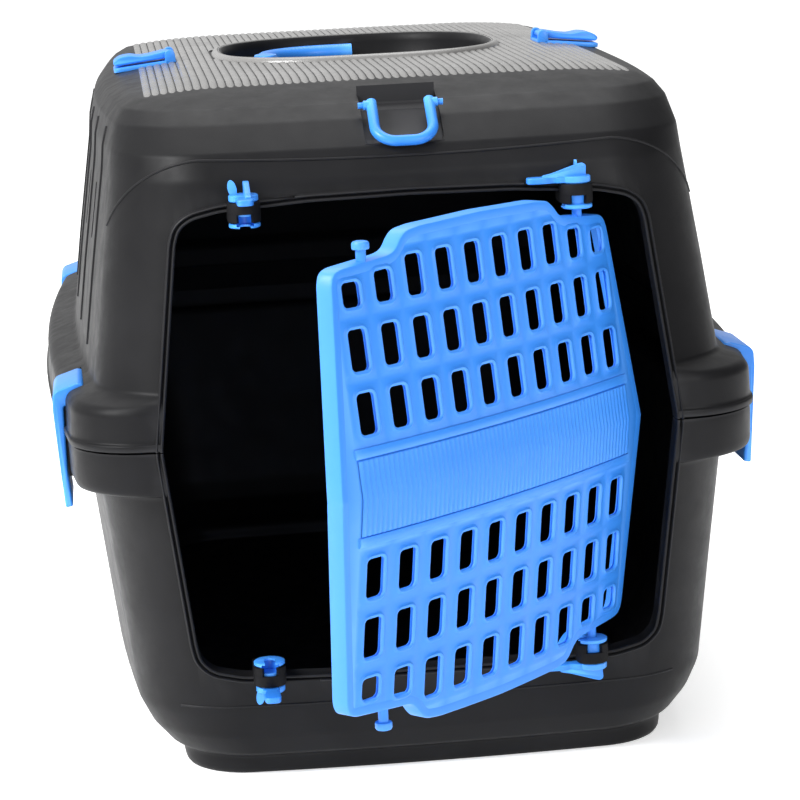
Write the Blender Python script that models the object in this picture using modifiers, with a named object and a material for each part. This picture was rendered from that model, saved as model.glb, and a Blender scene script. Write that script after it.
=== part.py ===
"""Two-shell plastic transport crate for a small animal, with a lattice door on four turning keepers.

Metres, +Z up. The crate stands on z = 0 with the origin under its middle, and faces -Y.
"""

import math

import bmesh
import bpy
import numpy as np
from mathutils import Matrix, Vector

for old in list(bpy.data.objects):
    bpy.data.objects.remove(old, do_unlink=True)

# ---- driving dimensions ----------------------------------------------------------------------
FRONT_Y = -0.298           # datum plane of the door opening
SEAM_Z = 0.1772            # height at which the two shells meet
GAP = 0.0003               # clearance left between touching pieces
WALL = 0.0026              # moulded wall thickness
ROOF_Z = 0.3505            # crown of the roof
OPEN_SIDE = 0.131          # half width of the lip at the seam
LIP_WIDTH = 0.0030         # width of the raised lip round the door opening
LIP_DEPTH = 0.0070         # depth of the lip, front to back
KEEPER_X = 0.0822          # hinge axes and keepers stand this far from the middle
KEEPER_Y = FRONT_Y + 0.0058
LOWER_DROP = 0.0010        # the lower fittings stand this much further from the seam
DOOR_OPEN = math.radians(44.3)     # the door stands open by this angle at rest
DOOR_SKIN = 0.0030         # thickness of the lattice
DOOR_RIM_BACK = 0.0085     # depth of the door's rim behind its face
DOOR_RIM_WIDTH = 0.0036
DOOR_BOW = 0.5614          # the door's curvature in plan: metres of bow per metre squared
DOOR_LEAN = math.tan(math.radians(6.6))
DOOR_FACE = 0.0145         # door's face ahead of the hinge axis, at the seam
SLOT_PITCH = 0.0208        # ten columns of slots across the door
SLOT_HALF_WIDTH = 0.0056
SLOT_HALF_HEIGHT = 0.0098
ROWS_UP = (0.0378, 0.0667, 0.0956)         # seam to the middle of each row above it
ROWS_DOWN = (0.0387, 0.0677, 0.0966)       # and below it
SHORT_TOP = 0.0985         # outer slots of the end rows stop here, from the seam
PIN_RADIUS = 0.0024
PIN_HEAD_RADIUS = 0.0040
BARREL_RADIUS = 0.0057
COLLAR_BORE = 0.0060
COLLAR_RADIUS = 0.0094
LATCH_Y = 0.211            # centre of each side latch, fore and aft
LATCH_HALF_WIDTH = 0.0230
LATCH_AXIS = (0.1712, 0.1972)      # hinge axis of a side latch, x and z
BAIL_AXIS = (FRONT_Y + 0.0360, 0.3400)     # hinge axis of the front bail, y and z
BAIL_END = (FRONT_Y + 0.0151, 0.3237)      # middle of its loop, y and z
HANDLE_Z = 0.3432          # hinge axis of the carry handle
POCKET_HALF_X = 0.0775
POCKET_HALF_Y = 0.0880
CLIP_Y = -0.012
CLIP_X = 0.1225
CLIP_BASE_Z = 0.3470       # underside of a clip at its middle

CHARCOAL = (0.060, 0.061, 0.065)
BLUE = (0.072, 0.235, 0.760)

# One row is one level of the moulded outline: height, half width, front y, rear y,
# corner radius, outward bow of the sides, outward bow of the ends.
REAR_Y = 0.306
UPPER_PROFILE = [
    (SEAM_Z - 0.0040, 0.1715, FRONT_Y + 0.0045, REAR_Y, 0.032, 0.0190, 0.007),
    (0.1808, 0.1715, FRONT_Y + 0.0045, REAR_Y, 0.032, 0.0190, 0.007),
    (0.1815, 0.1703, FRONT_Y + 0.0057, REAR_Y - 0.001, 0.032, 0.0190, 0.007),
    (0.1965, 0.1698, FRONT_Y + 0.0060, REAR_Y - 0.002, 0.032, 0.0188, 0.007),
    (0.1995, 0.1680, FRONT_Y + 0.0070, REAR_Y - 0.003, 0.032, 0.0185, 0.007),
    (0.2045, 0.1562, FRONT_Y + 0.0085, REAR_Y - 0.006, 0.045, 0.0160, 0.007),
    (0.2550, 0.1500, FRONT_Y + 0.0155, REAR_Y - 0.017, 0.045, 0.0150, 0.008),
    (0.3085, 0.1425, FRONT_Y + 0.0215, REAR_Y - 0.030, 0.045, 0.0140, 0.009),
    (0.3210, 0.1415, FRONT_Y + 0.0270, REAR_Y - 0.036, 0.043, 0.0140, 0.009),
    (0.3340, 0.1390, FRONT_Y + 0.0430, REAR_Y - 0.052, 0.040, 0.0135, 0.008),
    (0.3410, 0.1350, FRONT_Y + 0.0560, REAR_Y - 0.064, 0.036, 0.0120, 0.007),
    (0.3450, 0.1290, FRONT_Y + 0.0700, REAR_Y - 0.075, 0.030, 0.0100, 0.006),
]
LOWER_PROFILE = [
    (SEAM_Z + 0.0040, 0.1700, FRONT_Y + 0.0060, REAR_Y - 0.001, 0.032, 0.0190, 0.007),
    (0.1580, 0.1697, FRONT_Y + 0.0062, REAR_Y - 0.002, 0.032, 0.0188, 0.007),
    (0.1550, 0.1680, FRONT_Y + 0.0070, REAR_Y - 0.003, 0.032, 0.0185, 0.007),
    (0.1530, 0.1562, FRONT_Y + 0.0085, REAR_Y - 0.006, 0.045, 0.0160, 0.007),
    (0.0950, 0.1502, FRONT_Y + 0.0160, REAR_Y - 0.016, 0.045, 0.0155, 0.008),
    (0.0365, 0.1440, FRONT_Y + 0.0215, REAR_Y - 0.030, 0.045, 0.0150, 0.008),
    (0.0230, 0.1385, FRONT_Y + 0.0232, REAR_Y - 0.036, 0.045, 0.0125, 0.008),
    (0.0120, 0.1300, FRONT_Y + 0.0260, REAR_Y - 0.050, 0.043, 0.0100, 0.006),
    (0.0095, 0.1250, FRONT_Y + 0.0330, REAR_Y - 0.058, 0.034, 0.0070, 0.006),
    (0.0020, 0.1245, FRONT_Y + 0.0335, REAR_Y - 0.059, 0.032, 0.0060, 0.006),
    (0.0000, 0.1230, FRONT_Y + 0.0350, REAR_Y - 0.061, 0.030, 0.0060, 0.006),
]
# Right half of the door opening, from the middle of the top to the middle of the bottom (x, z).
OPENING_HALF = [
    (0.0000, 0.2975), (0.0500, 0.2966), (0.0940, 0.2935), (0.1080, 0.2903), (0.1140, 0.2860),
    (0.1163, 0.2790), (0.1289, SEAM_Z), (0.1174, 0.0740), (0.1155, 0.0665), (0.1095, 0.0610),
    (0.0950, 0.0578), (0.0500, 0.0568), (0.0000, 0.0572),
]
# Right half of the door's outline, in the same order, from the door's own middle.
DOOR_HALF = [
    (0.0000, 0.2958), (0.0450, 0.2947), (0.0545, 0.2934), (0.0585, 0.2905), (0.0625, 0.2858),
    (0.0670, 0.2840), (0.0985, 0.2814), (0.1028, 0.2797), (0.1050, 0.2750), (0.1162, SEAM_Z),
    (0.1082, 0.0790), (0.1062, 0.0746), (0.1020, 0.0727), (0.0670, 0.0703), (0.0630, 0.0680),
    (0.0585, 0.0625), (0.0545, 0.0600), (0.0450, 0.0588), (0.0000, 0.0580),
]


# ---- scene helpers ---------------------------------------------------------------------------
def new_collection(name):
    group = bpy.data.collections.new(name)
    bpy.context.scene.collection.children.link(group)
    return group


crate = new_collection("transport_crate")
cutters = new_collection("cutters")


def make_material(name, colour, roughness):
    material = bpy.data.materials.new(name)
    material.use_nodes = True
    shader = material.node_tree.nodes["Principled BSDF"]
    shader.inputs["Base Color"].default_value = (*colour, 1.0)
    shader.inputs["Roughness"].default_value = roughness
    shader.inputs["Metallic"].default_value = 0.0
    return material


def add_object(name, mesh, group=crate):
    obj = bpy.data.objects.new(name, mesh)
    group.objects.link(obj)
    return obj


def mesh_from(name, build):
    """A mesh filled by build(bm), with its faces turned outwards."""
    mesh = bpy.data.meshes.new(name)
    bm = bmesh.new()
    build(bm)
    bmesh.ops.remove_doubles(bm, verts=bm.verts, dist=1e-6)
    bmesh.ops.recalc_face_normals(bm, faces=bm.faces)
    bm.to_mesh(mesh)
    bm.free()
    return mesh


def finish(obj, colour, roughness):
    """Bake the modifiers, smooth the round faces and give the piece its material."""
    depsgraph = bpy.context.evaluated_depsgraph_get()
    baked = bpy.data.meshes.new_from_object(obj.evaluated_get(depsgraph))
    obj.modifiers.clear()
    obj.data = baked
    baked.name = obj.name
    baked.materials.clear()
    baked.materials.append(make_material(obj.name + "_plastic", colour, roughness))
    baked.shade_smooth()
    baked.set_sharp_from_angle(angle=math.radians(32))


def combine(target, cutter, operation):
    """Add a Boolean modifier that keeps the cutter as a hidden wire object."""
    if cutter.name in crate.objects:
        crate.objects.unlink(cutter)
        cutters.objects.link(cutter)
    cutter.hide_render = True
    cutter.display_type = "WIRE"
    modifier = target.modifiers.new(cutter.name, "BOOLEAN")
    modifier.operation = operation
    modifier.solver = "EXACT"
    modifier.object = cutter


def box(name, low, high, group=crate):
    """A box between two corners, with its origin at its centre."""
    low = Vector(low)
    high = Vector(high)
    mesh = bpy.data.meshes.new(name)
    bm = bmesh.new()
    bmesh.ops.create_cube(bm, size=1.0, matrix=Matrix.Diagonal((*(high - low), 1.0)))
    bm.to_mesh(mesh)
    bm.free()
    obj = add_object(name, mesh, group)
    obj.location = (low + high) / 2
    return obj


def rod(name, radius, start, end, segments=16, radius_end=None):
    """A closed cylinder or cone from one point to another."""
    start = Vector(start)
    end = Vector(end)
    mesh = bpy.data.meshes.new(name)
    bm = bmesh.new()
    bmesh.ops.create_cone(
        bm, cap_ends=True, segments=segments, radius1=radius,
        radius2=radius if radius_end is None else radius_end, depth=(end - start).length)
    bm.to_mesh(mesh)
    bm.free()
    obj = add_object(name, mesh)
    obj.rotation_mode = "QUATERNION"
    obj.rotation_quaternion = (end - start).to_track_quat("Z", "Y")
    obj.location = (start + end) / 2
    return obj


def prism_xz(name, outline, y_low, y_high):
    """A flat outline in X and Z, filled and extruded along Y."""
    curve = bpy.data.curves.new(name, "CURVE")
    curve.dimensions = "2D"
    curve.fill_mode = "BOTH"
    curve.extrude = (y_high - y_low) / 2
    spline = curve.splines.new("POLY")
    spline.points.add(len(outline) - 1)
    for point, (x, z) in zip(spline.points, outline):
        point.co = (x, z, 0.0, 1.0)
    spline.use_cyclic_u = True
    holder = add_object(name + "_outline", curve)
    holder.rotation_euler = (math.pi / 2, 0.0, 0.0)
    holder.location = (0.0, (y_low + y_high) / 2, 0.0)
    bpy.context.view_layer.update()
    depsgraph = bpy.context.evaluated_depsgraph_get()
    mesh = bpy.data.meshes.new_from_object(holder.evaluated_get(depsgraph))
    bm = bmesh.new()
    bm.from_mesh(mesh)
    bmesh.ops.remove_doubles(bm, verts=bm.verts, dist=1e-6)
    bmesh.ops.recalc_face_normals(bm, faces=bm.faces)
    bm.to_mesh(mesh)
    bm.free()
    obj = add_object(name, mesh)
    obj.matrix_world = holder.matrix_world
    bpy.data.objects.remove(holder)
    return obj


def slab(name, outline, thickness):
    """A flat outline of 3-D points, filled and pushed along a vector."""
    push = Vector(thickness)

    def build(bm):
        near = [bm.verts.new(point) for point in outline]
        far = [bm.verts.new(Vector(point) + push) for point in outline]
        bm.faces.new(near)
        bm.faces.new(list(reversed(far)))
        for index in range(len(outline)):
            after = (index + 1) % len(outline)
            bm.faces.new((near[index], far[index], far[after], near[after]))
    return add_object(name, mesh_from(name, build))


def mirrored(half):
    """A closed outline from its right half, whose ends lie on x = 0."""
    return half + [(-x, z) for x, z in reversed(half[1:-1])]


# ---- the shells ------------------------------------------------------------------------------
def plan_loop(z, half_width, front, rear, corner, side_bow, end_bow):
    """One level of a shell: a rounded rectangle whose sides and ends are bowed outwards."""
    middle = (front + rear) / 2
    half_length = (rear - front) / 2
    corners = [
        (half_width - corner, half_length - corner, 0.0),
        (corner - half_width, half_length - corner, math.pi / 2),
        (corner - half_width, corner - half_length, math.pi),
        (half_width - corner, corner - half_length, 1.5 * math.pi),
    ]
    points = []
    for centre_x, centre_y, start in corners:
        for step in range(5):
            angle = start + step * math.pi / 8
            points.append((centre_x + corner * math.cos(angle), centre_y + corner * math.sin(angle)))
    loop = []
    for index, (x, y) in enumerate(points):
        loop.append((x, y))
        if index % 5 == 4:
            next_x, next_y = points[(index + 1) % len(points)]
            for step in range(1, 6):
                share = step / 6
                loop.append((x + (next_x - x) * share, y + (next_y - y) * share))
    bowed = []
    for x, y in loop:
        across = x / half_width
        along = y / half_length
        bowed.append(Vector((
            x + side_bow * (1 - along ** 2) * across,
            middle + y + end_bow * (1 - across ** 2) * along,
            z)))
    return bowed


def shell(name, profile, cap_z):
    """An open lofted skin with one closed end, thickened inwards."""
    mesh = bpy.data.meshes.new(name)
    bm = bmesh.new()
    loops = [[bm.verts.new(point) for point in plan_loop(*row)] for row in profile]
    crown = [bm.verts.new((v.co.x * 0.62, v.co.y * 0.72, cap_z)) for v in loops[-1]]
    loops.append(crown)
    centre = bm.verts.new((0.0, 0.0, cap_z))
    count = len(crown)
    for lower, upper in zip(loops, loops[1:]):
        for index in range(count):
            after = (index + 1) % count
            bm.faces.new((lower[index], lower[after], upper[after], upper[index]))
    for index in range(count):
        bm.faces.new((crown[index], crown[(index + 1) % count], centre))
    bmesh.ops.recalc_face_normals(bm, faces=bm.faces)
    outward = 1.0 if cap_z > SEAM_Z else -1.0
    cap_face = centre.link_faces[0]
    if cap_face.normal.z * outward < 0:
        bmesh.ops.reverse_faces(bm, faces=bm.faces)
    bm.to_mesh(mesh)
    bm.free()
    obj = add_object(name, mesh)
    thicken = obj.modifiers.new("wall", "SOLIDIFY")
    thicken.thickness = WALL
    thicken.offset = -1.0
    thicken.use_even_offset = True
    return obj


def lip_front(x, z):
    """Front of the lip round the opening: leaning back from the seam and bowed in plan."""
    return FRONT_Y + 0.0015 + 0.11 * abs(z - SEAM_Z) - 0.55 * (OPEN_SIDE ** 2 - x ** 2)


def offset_outline(outline, distance):
    """Move a closed outline outwards by a distance, along the mitre of each corner."""
    moved = []
    count = len(outline)
    for index, (x, z) in enumerate(outline):
        here = Vector((x, z))
        first = (here - Vector(outline[index - 1])).normalized()
        second = (Vector(outline[(index + 1) % count]) - here).normalized()
        normal_first = Vector((-first.y, first.x))
        normal_second = Vector((-second.y, second.x))
        mitre = (normal_first + normal_second).normalized()
        moved.append(here + mitre * distance / max(mitre.dot(normal_first), 0.5))
    return [(point.x, point.y) for point in moved]


def band(name, rings):
    """A closed band from a ring of four-point sections."""
    def build(bm):
        sections = [[bm.verts.new(point) for point in ring] for ring in rings]
        for index, section in enumerate(sections):
            after = sections[(index + 1) % len(sections)]
            for side in range(4):
                other = (side + 1) % 4
                bm.faces.new((section[side], after[side], after[other], section[other]))
    return add_object(name, mesh_from(name, build))


def lip_band(name, low, high):
    """The part of the opening's lip that lies between two heights."""
    outline = mirrored(OPENING_HALF)
    rings = []
    for (inner_x, inner_z), (outer_x, outer_z) in zip(outline, offset_outline(outline, LIP_WIDTH)):
        front = lip_front(inner_x, inner_z)
        rings.append([
            (inner_x, front, inner_z),
            (outer_x, front, outer_z),
            (outer_x, front + 2.2 * LIP_DEPTH, outer_z),
            (inner_x, front + 1.6 * LIP_DEPTH, inner_z),
        ])
    obj = band(name, rings)
    combine(obj, box(name + "_range", (-0.3, -0.4, low), (0.3, 0.1, high), cutters), "INTERSECT")
    return obj


def level(distance, upward):
    """Height of a door fitting from its distance to the seam, above or below it."""
    return SEAM_Z + distance if upward else SEAM_Z - distance - LOWER_DROP


def span(near, far, upward):
    """Lower and upper height between two distances from the seam."""
    ends = (level(near, upward), level(far, upward))
    return min(ends), max(ends)


def stub(name, radius, x, y, near, far, upward, segments=20):
    low, high = span(near, far, upward)
    return rod(name, radius, (x, y, low), (x, y, high), segments)


def add_collars(shell_object, upward):
    """Sleeves on the lip that hold the keepers, each slotted in front for the door's pin."""
    for tag, side in (("left", -1), ("right", 1)):
        label = ("upper_" if upward else "lower_") + tag
        x = side * KEEPER_X
        combine(shell_object, stub("collar_" + label, COLLAR_RADIUS, x, KEEPER_Y, 0.1120, 0.1218,
                                   upward), "UNION")
        combine(shell_object, stub("bore_" + label, COLLAR_BORE, x, KEEPER_Y, 0.1060, 0.1320,
                                   upward), "DIFFERENCE")
        low, high = span(0.1060, 0.1163, upward)
        combine(shell_object, box("pin_way_" + label, (x - 0.0046, KEEPER_Y - 0.02, low),
                                  (x + 0.0046, KEEPER_Y, high), cutters), "DIFFERENCE")


opening = prism_xz("opening_cut", mirrored(OPENING_HALF), -0.36, -0.262)

lower_shell = shell("lower_shell", LOWER_PROFILE, 0.0)
combine(lower_shell, box("seam_cut_lower", (-0.3, -0.4, SEAM_Z), (0.3, 0.4, 0.40), cutters),
        "DIFFERENCE")
combine(lower_shell, opening, "DIFFERENCE")
combine(lower_shell, lip_band("lip_lower", 0.0, SEAM_Z), "UNION")
add_collars(lower_shell, False)

upper_shell = shell("upper_shell", UPPER_PROFILE, ROOF_Z)
combine(upper_shell, box("seam_cut_upper", (-0.3, -0.4, -0.1), (0.3, 0.4, SEAM_Z + GAP), cutters),
        "DIFFERENCE")
combine(upper_shell, opening, "DIFFERENCE")
combine(upper_shell, lip_band("lip_upper", SEAM_Z + GAP, 0.40), "UNION")
add_collars(upper_shell, True)


# ---- roof pocket, bail recess, latch notches and vents ------------------------------------------
def oval(name, half_x, half_y, low, high, segments=40):
    mesh = bpy.data.meshes.new(name)
    bm = bmesh.new()
    bmesh.ops.create_cone(bm, cap_ends=True, segments=segments, radius1=1.0, radius2=1.0, depth=1.0)
    bmesh.ops.scale(bm, vec=(half_x, half_y, high - low), verts=bm.verts)
    bm.to_mesh(mesh)
    bm.free()
    obj = add_object(name, mesh)
    obj.location = (0.0, 0.0, (low + high) / 2)
    return obj


POCKET_FLOOR = 0.3356
combine(upper_shell, oval("pocket_tub", POCKET_HALF_X + 0.004, POCKET_HALF_Y + 0.004,
                          POCKET_FLOOR - WALL, 0.3514), "UNION")
combine(upper_shell, oval("pocket_cut", POCKET_HALF_X, POCKET_HALF_Y, POCKET_FLOOR, 0.37),
        "DIFFERENCE")
combine(upper_shell, rod("handle_bore", 0.0033, (0.0, -0.095, HANDLE_Z), (0.0, 0.095, HANDLE_Z)),
        "DIFFERENCE")

RECESS_HALF = 0.0197
RECESS_LOW = 0.3218
RECESS_SECTION = [(0.0196, RECESS_LOW - WALL), (0.0198, 0.3212), (0.0360, 0.3333), (0.0500, 0.3403),
                  (0.0630, 0.3440), (0.0630, RECESS_LOW - WALL)]
combine(upper_shell, slab("recess_tub", [(-RECESS_HALF - WALL, FRONT_Y + y, z) for y, z in RECESS_SECTION],
                          (2 * (RECESS_HALF + WALL), 0.0, 0.0)), "UNION")
combine(upper_shell, box("recess_cut", (-RECESS_HALF, FRONT_Y - 0.01, RECESS_LOW),
                         (RECESS_HALF, FRONT_Y + 0.0600, 0.37)), "DIFFERENCE")
combine(upper_shell, rod("bail_bore", 0.0019, (-0.0215, *BAIL_AXIS), (0.0215, *BAIL_AXIS), 12),
        "DIFFERENCE")

NOTCH_HALF = 0.0238        # each latch lies in a notch in the belt, this wide to either side
NOTCH_X = 0.1771           # back of the notch
BLOCK_HALF = 0.0262        # the belt is thickened behind the notch
LATCH_ROOM = 0.0072        # radius of the room in which the latch's head turns
LATCHES = [("left_front", -1, -1), ("left_rear", -1, 1), ("right_front", 1, -1), ("right_rear", 1, 1)]
for label, side, end in LATCHES:
    latch_y = end * LATCH_Y + 0.002
    axis_x = side * LATCH_AXIS[0]
    inner_y = latch_y - end * BLOCK_HALF
    outer_y = latch_y + end * BLOCK_HALF
    for shell_object, tag, low, height, inner_x, outer_x in (
            (upper_shell, "upper", 0.1781, 0.0202, 0.1810, 0.1758),
            (lower_shell, "lower", 0.1560, 0.0206, 0.1800, 0.1750)):
        plan = [(side * 0.1735, inner_y), (side * inner_x, inner_y),
                (side * outer_x, outer_y), (side * 0.1735, outer_y)]
        combine(shell_object, slab("notch_block_%s_%s" % (tag, label), [(x, y, low) for x, y in plan],
                                   (0.0, 0.0, height)), "UNION")
    shelf = [(0.1600, 0.1865), (0.1600, 0.2030), (0.1640, 0.2026), (0.1740, 0.1986), (0.1740, 0.1865)]
    combine(upper_shell, slab("latch_shelf_" + label, [(side * x, latch_y - 0.0270, z) for x, z in shelf],
                              (0.0, 0.0540, 0.0)), "UNION")
    notch_ends = sorted((side * NOTCH_X, side * 0.25))
    for shell_object, tag in ((upper_shell, "upper"), (lower_shell, "lower")):
        combine(shell_object, box("notch_%s_%s" % (tag, label),
                                  (notch_ends[0], latch_y - NOTCH_HALF, 0.150),
                                  (notch_ends[1], latch_y + NOTCH_HALF, 0.204), cutters), "DIFFERENCE")
    combine(upper_shell, rod("latch_room_" + label, LATCH_ROOM,
                             (axis_x, latch_y - NOTCH_HALF - 0.0004, LATCH_AXIS[1]),
                             (axis_x, latch_y + NOTCH_HALF + 0.0004, LATCH_AXIS[1]), 20), "DIFFERENCE")
    room_ends = sorted((axis_x, side * 0.25))
    combine(upper_shell, box("latch_mouth_" + label,
                             (room_ends[0], latch_y - NOTCH_HALF - 0.0002, LATCH_AXIS[1] - LATCH_ROOM + 0.0005),
                             (room_ends[1], latch_y + NOTCH_HALF + 0.0002, 0.2100), cutters), "DIFFERENCE")
    combine(upper_shell, rod("latch_bore_" + label, 0.0017, (axis_x, latch_y - 0.0260, LATCH_AXIS[1]),
                             (axis_x, latch_y + 0.0260, LATCH_AXIS[1]), 12), "DIFFERENCE")

VENT_PITCH = 0.063
for index in range(6):
    vent_y = -0.155 + index * VENT_PITCH
    combine(upper_shell, box("vent_%d" % index, (-0.25, vent_y - 0.0035, 0.268),
                             (0.25, vent_y + 0.0035, 0.298), cutters), "DIFFERENCE")


# ---- the door --------------------------------------------------------------------------------
# Modelled shut, with the hinge axis on its origin: x runs from the axis, y is depth.
def door_face(offset, z):
    """Depth of the door's face behind the hinge axis, at an offset from the door's middle."""
    bow = DOOR_BOW * (offset ** 2 - KEEPER_X ** 2)
    return -(DOOR_FACE - bow - DOOR_LEAN * abs(z - SEAM_Z))


def lattice(name):
    """The door's curved skin: a grid whose slot cells are left open, thickened backwards."""
    columns = [SLOT_PITCH * (index - 4.5) for index in range(10)]
    x_lines = [-0.130]
    for centre in columns:
        x_lines += [centre - SLOT_HALF_WIDTH, centre + SLOT_HALF_WIDTH]
    x_lines.append(0.130)
    rows = [SEAM_Z + row for row in ROWS_UP] + [SEAM_Z - row for row in ROWS_DOWN]
    z_lines = [0.050, SEAM_Z - SHORT_TOP, SEAM_Z, SEAM_Z + SHORT_TOP, 0.302]
    for centre in rows:
        z_lines += [centre - SLOT_HALF_HEIGHT, centre + SLOT_HALF_HEIGHT]
    z_lines.sort()
    mesh = bpy.data.meshes.new(name)
    bm = bmesh.new()
    grid = [[bm.verts.new((x - KEEPER_X, door_face(x, z), z)) for x in x_lines] for z in z_lines]
    for low in range(len(z_lines) - 1):
        for left in range(len(x_lines) - 1):
            x = (x_lines[left] + x_lines[left + 1]) / 2
            z = (z_lines[low] + z_lines[low + 1]) / 2
            in_column = any(abs(x - centre) < SLOT_HALF_WIDTH for centre in columns)
            in_row = any(abs(z - centre) < SLOT_HALF_HEIGHT for centre in rows)
            clipped = abs(x) > 2.9 * SLOT_PITCH and abs(z - SEAM_Z) > SHORT_TOP
            if in_column and in_row and not clipped:
                continue
            bm.faces.new((grid[low][left], grid[low][left + 1],
                          grid[low + 1][left + 1], grid[low + 1][left]))
    bmesh.ops.recalc_face_normals(bm, faces=bm.faces)
    bm.faces.ensure_lookup_table()
    if bm.faces[0].normal.y > 0:
        bmesh.ops.reverse_faces(bm, faces=bm.faces)
    bm.to_mesh(mesh)
    bm.free()
    obj = add_object(name, mesh)
    thicken = obj.modifiers.new("skin", "SOLIDIFY")
    thicken.thickness = DOOR_SKIN
    thicken.offset = -1.0
    return obj


def door_rim():
    """A deep band round the door's outline."""
    outline = mirrored(DOOR_HALF)
    rings = []
    for (inner_x, inner_z), (outer_x, outer_z) in zip(offset_outline(outline, -DOOR_RIM_WIDTH), outline):
        front = door_face(outer_x, outer_z) - 0.0008
        back = front + DOOR_RIM_BACK
        rings.append([
            (inner_x - KEEPER_X, front, inner_z),
            (outer_x - KEEPER_X, front, outer_z),
            (outer_x - KEEPER_X, back, outer_z),
            (inner_x - KEEPER_X, back, inner_z),
        ])
    return band("door_rim", rings)


door = lattice("door")
outline_cut = prism_xz("door_outline", offset_outline(mirrored(DOOR_HALF), -0.0012), -0.05, 0.05)
outline_cut.location.x -= KEEPER_X
combine(door, outline_cut, "INTERSECT")
combine(door, door_rim(), "UNION")
for pin_x in (0.0, -2 * KEEPER_X):
    for upward in (False, True):
        tag = "%s_%s" % ("upper" if upward else "lower", "hinge" if pin_x == 0.0 else "free")
        combine(door, stub("pin_" + tag, PIN_RADIUS, pin_x, 0.0, 0.1000, 0.1112, upward, 16), "UNION")
        combine(door, stub("pin_head_" + tag, PIN_HEAD_RADIUS, pin_x, 0.0, 0.1108, 0.1146, upward,
                           16), "UNION")
finish(door, BLUE, 0.38)
door.location = (KEEPER_X, KEEPER_Y, 0.0)
door.rotation_euler.z = DOOR_OPEN


# ---- keepers ---------------------------------------------------------------------------------
def keeper(name, x, upward, angle):
    """A turning keeper: snap head, barrel with a T slot towards its lever, and finned lever."""
    obj = stub(name, BARREL_RADIUS, 0.0, 0.0, 0.1115, 0.1240, upward, 24)
    combine(obj, stub(name + "_head", 0.0078, 0.0, 0.0, 0.1093, 0.1117, upward, 24), "UNION")
    low, high = span(0.1226, 0.1254, upward)
    combine(obj, rod(name + "_hub", 0.0072, (0.0, 0.0, low), (0.0, 0.0, high), 24), "UNION")
    tip = [(-0.0040, 0.0055), (-0.0040, -0.0090), (-0.0029, -0.0115), (-0.0040, -0.0140),
           (-0.0040, -0.0225), (-0.0025, -0.0245), (0.0025, -0.0245), (0.0040, -0.0225),
           (0.0040, -0.0140), (0.0029, -0.0115), (0.0040, -0.0090), (0.0040, 0.0055)]
    lever = slab(name + "_lever", [(px, py, low) for px, py in tip], (0.0, 0.0, high - low))
    combine(obj, lever, "UNION")
    low, high = span(0.1240, 0.1300, upward)
    combine(obj, box(name + "_fin", (-0.0009, -0.0235, low), (0.0009, 0.0045, high)), "UNION")
    combine(obj, box(name + "_leaf", (-0.0042, -0.0012, low), (0.0042, 0.0012, high)), "UNION")
    for label, half, near, far in (("stem", 0.0027, 0.1080, 0.1104), ("head", 0.0043, 0.1103, 0.1151)):
        low, high = span(near, far, upward)
        combine(obj, rod("%s_%s_hole" % (name, label), half, (0.0, 0.0, low), (0.0, 0.0, high), 24),
                "DIFFERENCE")
        combine(obj, box("%s_%s_slot" % (name, label), (-half, -0.02, low), (half, 0.0, high), cutters),
                "DIFFERENCE")
    bpy.context.view_layer.update()
    depsgraph = bpy.context.evaluated_depsgraph_get()
    baked = bpy.data.meshes.new_from_object(obj.evaluated_get(depsgraph))
    baked.transform(obj.matrix_world)
    obj.modifiers.clear()
    obj.data = baked
    obj.location = (0.0, 0.0, 0.0)
    obj.rotation_mode = "XYZ"
    finish(obj, BLUE, 0.38)
    obj.location = (x, KEEPER_Y, 0.0)
    obj.rotation_euler = (0.0, 0.0, angle)
    return obj


keeper("keeper_upper_left", -KEEPER_X, True, 0.0)
keeper("keeper_lower_left", -KEEPER_X, False, 0.0)
keeper("keeper_upper_right", KEEPER_X, True, -math.pi / 2)
keeper("keeper_lower_right", KEEPER_X, False, -math.pi / 2)


# ---- side latches ----------------------------------------------------------------------------
def bake_at(obj, pivot):
    """Apply the modifiers and move the origin to a pivot."""
    bpy.context.view_layer.update()
    depsgraph = bpy.context.evaluated_depsgraph_get()
    baked = bpy.data.meshes.new_from_object(obj.evaluated_get(depsgraph))
    baked.transform(Matrix.Translation(-Vector(pivot)) @ obj.matrix_world)
    obj.modifiers.clear()
    obj.data = baked
    obj.rotation_mode = "XYZ"
    obj.rotation_euler = (0.0, 0.0, 0.0)
    obj.location = pivot


LATCH_OUTLINE = [
    (0.1760, 0.1392), (0.1800, 0.1385), (0.1812, 0.1560), (0.1833, 0.1900), (0.1829, 0.1975),
    (0.1812, 0.2000), (0.1700, 0.2036), (0.1672, 0.2028), (0.1660, 0.2000), (0.1662, 0.1940),
    (0.1690, 0.1918), (0.1776, 0.1918), (0.1776, 0.1560),
]
for label, side, end in LATCHES:
    latch_y = end * LATCH_Y + 0.002
    outline = [(side * x, z) for x, z in LATCH_OUTLINE]
    latch = prism_xz("latch_" + label, outline, latch_y - LATCH_HALF_WIDTH, latch_y + LATCH_HALF_WIDTH)
    pivot = (side * LATCH_AXIS[0], latch_y, LATCH_AXIS[1])
    axle_half = LATCH_HALF_WIDTH + 0.0028
    combine(latch, rod("axle_" + label, 0.0014, (pivot[0], latch_y - axle_half, pivot[2]),
                       (pivot[0], latch_y + axle_half, pivot[2]), 12), "UNION")
    bake_at(latch, pivot)
    finish(latch, BLUE, 0.38)


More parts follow.
